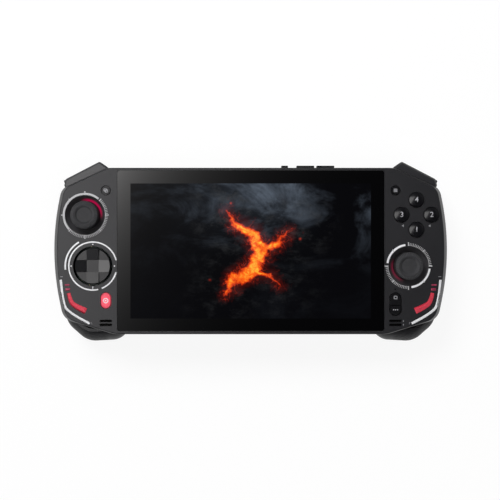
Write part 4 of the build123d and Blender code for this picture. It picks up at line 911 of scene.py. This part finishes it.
class PrintSmallMarks(Operator):
    """Print the small marks by the face keys and the sound slots, line the slots with black cloth whose
    darkness is partly painted shade, and print rims of painted shade round them
    """
    bl_idname = "console.print_small_marks"
    bl_label = "Small marks"

    def execute(self, context):
        size = sizes(context)
        skin = Surface("front_cover")
        centre = (middle_of("face_key_1") + middle_of("face_key_4")) / 2
        shape = bmesh.new()
        for way, turn in ((-1, 90), (1, -30)):
            place = Matrix.Translation((centre.x + way * 8.6 * MM, centre.y - 7.1 * MM, 0))
            bmesh.ops.create_circle(shape, cap_ends=True, segments=3, radius=0.95 * MM,
                                    matrix=place @ Matrix.Rotation(math.radians(turn), 4, "Z"))
        skin.take_print(shape, size.print_height)
        add_piece("key_corner_marks", shape, ink("grey_print"))
        self.sound_cloth(skin, size.print_height)
        dots = bmesh.new()
        slot_x = middle_of("right_speaker").x
        for dy in (-47.6, -45.2):
            bar((slot_x + 5.1 * MM, dy * MM), 0.5 * MM, 0.9 * MM, dots)
        skin.take_print(dots, size.print_height)
        add_piece("sound_marks", dots, ink("grey_print"))
        return {"FINISHED"}

    def sound_cloth(self, skin, height):
        """Black cloth behind the sound slots, a little below the face, whose near-black colour is partly
        painted shade for the inside of the slots, and black rims of painted shade round them.
        """
        cloth, shade_rims = bmesh.new(), bmesh.new()
        for x, y in self.slot_places():
            part, rim = bmesh.new(), bmesh.new()
            disc((x, y), 0.58 * MM, part, 24)
            ring_part((x, y), 0.64 * MM, 0.86 * MM, rim)
            for vert in (*part.verts, *rim.verts):
                vert.co.x += math.copysign(3.25 * MM, vert.co.x - x)
            join(cloth, part)
            join(shade_rims, rim)
        thick(cloth)
        for vert in cloth.verts:
            vert.co.z = FACE_Z - (0.4 if vert.co.z > 0 else 0.6) * MM
        # The cloth is real cloth, and its near-black colour is also painted shade for the inside of the
        # slots.
        add_piece("sound_cloth", cloth, ink("black_cloth_and_shade"))
        # Painted shade: black rims printed on the face round the slot openings, where the slot edges lie
        # in shade.
        skin.take_print(shade_rims, height)
        add_piece("sound_rim_shade", shade_rims, ink("black_cloth_and_shade"))

    def slot_places(self):
        """Middles of the four sound slots, which lie a little below the middles of the speakers."""
        for side in SIDES:
            spot = middle_of(f"{side}_speaker")
            for step in (-1, 1):
                yield spot.x, spot.y + (step * 1.25 - 0.9) * MM


class DressSockets(Operator):
    """Add contacts in the sockets, the jack's collar and a dust mesh behind the air slots"""
    bl_idname = "console.dress_sockets"
    bl_label = "Sockets and air slots"

    def execute(self, context):
        size = sizes(context)
        gold = metal_finish("contact_gold", tuple(colours(context).gold), 0.2, (1, 8, 1)).material
        low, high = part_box("usb_sockets")
        self.plug_contacts("top_contacts", Vector((20 * MM, high.y, low.z)), -1, gold)
        self.plug_contacts("bottom_contacts", Vector((0.0, low.y, low.z)), 1, gold)
        spot = middle_of("headphone_jack")
        spot.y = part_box("headphone_jack")[1].y
        ring = bmesh.new()
        profile = ((1.82, -1.6), (1.82, -0.12), (2.3, -0.12), (2.3, -0.02), (1.62, -0.02), (1.62, -1.6))
        rim = [ring.verts.new((reach * MM, depth * MM, 0)) for reach, depth in profile]
        edges = [ring.edges.new((a, b)) for a, b in zip(rim, rim[1:] + rim[:1])]
        bmesh.ops.spin(ring, geom=rim + edges, cent=(0, 0, 0), axis=(0, 1, 0), angle=2 * math.pi, steps=36,
                       use_merge=True)
        bmesh.ops.recalc_face_normals(ring, faces=ring.faces)
        bmesh.ops.translate(ring, verts=ring.verts, vec=spot)
        add_piece("jack_collar", ring, ink("plated_steel"))
        self.dust_mesh(size)
        return {"FINISHED"}

    def plug_contacts(self, name, corner, way, gold):
        """Rows of flat contacts on both sides of a socket's tongue."""
        rows = bmesh.new()
        for index in range(12):
            across = (index - 5.5) * 0.5 * MM
            for up in (-1, 1):
                place = (corner.x + across, corner.y + way * 3.2 * MM, corner.z + (1.63 + up * 0.36) * MM)
                strip = Matrix.Diagonal((0.25 * MM, 3.4 * MM, 0.06 * MM, 1))
                bmesh.ops.create_cube(rows, size=1.0, matrix=Matrix.Translation(place) @ strip)
        add_piece(name, rows, gold)

    def dust_mesh(self, size):
        """Woven wire disc over the fan's intake."""
        centre = middle_of("fan_rotor")
        centre.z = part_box("fan_housing")[0].z - 0.1 * MM
        reach = 19 * MM
        count = round(2 * reach / size.mesh_pitch)
        weave = bmesh.new()
        bmesh.ops.create_grid(weave, x_segments=count, y_segments=count, size=reach,
                              matrix=Matrix.Translation(centre))
        outside = [f for f in weave.faces if (f.calc_center_median() - centre).length > reach]
        bmesh.ops.delete(weave, geom=outside, context="FACES")
        bmesh.ops.wireframe(weave, faces=weave.faces, thickness=0.14 * MM, use_replace=True,
                            use_boundary=True, use_even_offset=True)
        add_piece("dust_mesh", weave, ink("black_steel"))


class BuildStage(Operator):
    """Set the floor, lamps, reflector card, world and camera"""
    bl_idname = "console.build_stage"
    bl_label = "Stage"

    def execute(self, context):
        stage = context.scene.console_stage
        self.floor()
        self.card(stage.card_strength)
        self.lamp("key_lamp", (-0.5, 0.9, 1.2), 0.7, stage.key_power)
        self.lamp("fill_lamp", (0.25, -0.35, 1.9), 1.6, stage.fill_power)
        self.world(context.scene)
        self.camera(context.scene, stage)
        context.scene.view_settings.view_transform = "Standard"
        return {"FINISHED"}

    def floor(self):
        """White paper under the console, which is clear when seen from below."""
        shape = bmesh.new()
        bmesh.ops.create_grid(shape, x_segments=8, y_segments=8, size=3.0,
                              matrix=Matrix.Translation((0, 0, -0.2 * MM)))
        mesh = bpy.data.meshes.new("floor")
        shape.to_mesh(mesh)
        shape.free()
        finish = Finish("floor_paper", (0.9, 0.9, 0.9), roughness=0.9, specular=0.1)
        finish.set("Roughness", 0.85 + 0.1 * finish.noise(10 * MM))
        paper = finish.shader.outputs[0]
        ray = finish.tree.nodes.new("ShaderNodeLightPath")
        seen = Amount(finish, ray.outputs["Is Camera Ray"])
        seen = seen.larger(Amount(finish, ray.outputs["Is Glossy Ray"]))
        seen = seen.larger(Amount(finish, ray.outputs["Is Transmission Ray"]))
        white = finish.node("ShaderNodeEmission", None, {"Color": (1, 1, 1, 1), "Strength": 1.05})
        mixed = finish.node("ShaderNodeMixShader", None, {0: seen * 0.84, 1: paper, 2: white})
        below = Amount(finish, finish.tree.nodes.new("ShaderNodeNewGeometry").outputs["Backfacing"])
        clear = finish.node("ShaderNodeBsdfTransparent")
        whole = finish.node("ShaderNodeMixShader", None, {0: below, 1: mixed, 2: clear})
        finish.tree.links.new(whole.socket, finish.tree.nodes["Material Output"].inputs["Surface"])
        mesh.materials.append(finish.material)
        floor = bpy.data.objects.new("floor", mesh)
        bpy.context.scene.collection.objects.link(floor)

    def card(self, strength):
        """Reflector above the upper left, fading to nothing towards the right and the far edge."""
        shape = bmesh.new()
        bmesh.ops.create_grid(shape, x_segments=2, y_segments=2, size=1.6,
                              matrix=Matrix.Translation((-0.3, 0.2, 1.62)))
        mesh = bpy.data.meshes.new("reflector_card")
        shape.to_mesh(mesh)
        shape.free()
        finish = Finish("card_light", (0, 0, 0))
        along = finish.x * -9.8 + finish.y * 6.6
        level = along.exponential().smaller(100.0) * finish.y.rise(0.95, 0.45)
        lamp = finish.node("ShaderNodeEmission", None,
                           {"Color": (1, 0.985, 0.98, 1), "Strength": level * strength})
        finish.tree.links.new(lamp.socket, finish.tree.nodes["Material Output"].inputs["Surface"])
        mesh.materials.append(finish.material)
        card = bpy.data.objects.new("reflector_card", mesh)
        bpy.context.scene.collection.objects.link(card)
        card.visible_camera = False
        card.visible_diffuse = False
        card.visible_shadow = False

    def lamp(self, name, place, size, power):
        """Round soft lamp that points at the console."""
        data = bpy.data.lights.new(name, "AREA")
        data.shape = "DISK"
        data.size = size
        data.energy = power
        lamp = bpy.data.objects.new(name, data)
        bpy.context.scene.collection.objects.link(lamp)
        lamp.location = place
        lamp.rotation_euler = (-Vector(place)).to_track_quat("-Z", "Y").to_euler()
        lamp.visible_glossy = False

    def world(self, scene):
        """Pale at the far horizon, darker in front and overhead, like a studio with a black ceiling."""
        world = bpy.data.worlds.new("studio")
        scene.world = world
        world.use_nodes = True
        tree = world.node_tree
        back = tree.nodes["Background"]
        place = tree.nodes.new("ShaderNodeTexCoord")
        parts = tree.nodes.new("ShaderNodeSeparateXYZ")
        ramp = tree.nodes.new("ShaderNodeValToRGB")
        lean = tree.nodes.new("ShaderNodeMath")
        lean.operation = "MULTIPLY_ADD"
        lean.inputs[1].default_value = -0.5
        tree.links.new(place.outputs["Generated"], parts.inputs[0])
        tree.links.new(parts.outputs[1], lean.inputs[0])
        tree.links.new(parts.outputs[2], lean.inputs[2])
        tree.links.new(lean.outputs[0], ramp.inputs[0])
        ramp.color_ramp.elements[0].position = 0.35
        ramp.color_ramp.elements[0].color = (0.9, 0.9, 0.9, 1)
        ramp.color_ramp.elements[1].position = 0.85
        ramp.color_ramp.elements[1].color = (0.03, 0.03, 0.032, 1)
        tree.links.new(ramp.outputs[0], back.inputs["Color"])
        back.inputs["Strength"].default_value = 0.5

    def camera(self, scene, stage):
        """Camera straight above the face, less than a millimetre off its middle."""
        data = bpy.data.cameras.new("camera")
        data.sensor_width = 36.0
        data.lens = data.sensor_width * stage.camera_height / stage.view_width
        data.clip_end = 20.0
        camera = bpy.data.objects.new("camera", data)
        scene.collection.objects.link(camera)
        camera.location = (-0.42 * MM, 0.65 * MM, FACE_Z + stage.camera_height)
        scene.camera = camera


class MixInks(Operator):
    """Make the print materials"""
    bl_idname = "console.mix_inks"
    bl_label = "Inks"

    def execute(self, context):
        tone = colours(context)
        print_finish("white_print", tuple(tone.print_white))
        print_finish("pale_print", tuple(0.62 * c for c in tone.print_white))
        print_finish("grey_print", tuple(tone.print_grey))
        print_finish("tick_print", tuple(0.5 * c for c in tone.print_white))
        # Near-black ink for the sound cloth and the rims round the sound slots, partly painted shade.
        print_finish("black_cloth_and_shade", (0.001, 0.001, 0.001), 0.8, 0.05)
        print_finish("key_print", (0.5, 0.5, 0.53), 0.3)
        red_print_finish("red_print", tuple(tone.print_red))
        red_print_finish("dim_red_print", (0.24, 0.016, 0.05))
        return {"FINISHED"}


class ConsolePanel(Panel):
    """Sizes, colours and pieces of the handheld console"""
    bl_idname = "VIEW3D_PT_console"
    bl_label = "Handheld console"
    bl_space_type = "VIEW_3D"
    bl_region_type = "UI"
    bl_category = "Console"

    def draw(self, context):
        layout = self.layout
        for group_name in GROUPS:
            group = getattr(context.scene, group_name)
            box = layout.box()
            for name in group.__annotations__:
                box.prop(group, name)
        for step in STEPS:
            layout.operator(step.bl_idname)


STEPS = (MixInks, FinishShell, FinishControls, FinishDisplay, FinishInside, PrintStripes, PrintStickRings,
         PrintPadRings, DressSticks, DressKeys, PrintSmallMarks, DressSockets, BuildStage)
GROUPS = {"console_colours": ConsoleColours, "console_sizes": ConsoleSizes, "console_stage": ConsoleStage}


def register():
    for kind in (*GROUPS.values(), *STEPS, ConsolePanel):
        bpy.utils.register_class(kind)
    for name, group in GROUPS.items():
        setattr(bpy.types.Scene, name, bpy.props.PointerProperty(type=group))


def unregister():
    for name in GROUPS:
        delattr(bpy.types.Scene, name)
    for kind in reversed((*GROUPS.values(), *STEPS, ConsolePanel)):
        bpy.utils.unregister_class(kind)


def main():
    register()
    for step in STEPS:
        group, name = step.bl_idname.split(".")
        getattr(getattr(bpy.ops, group), name)()


if __name__ == "__main__":
    main()
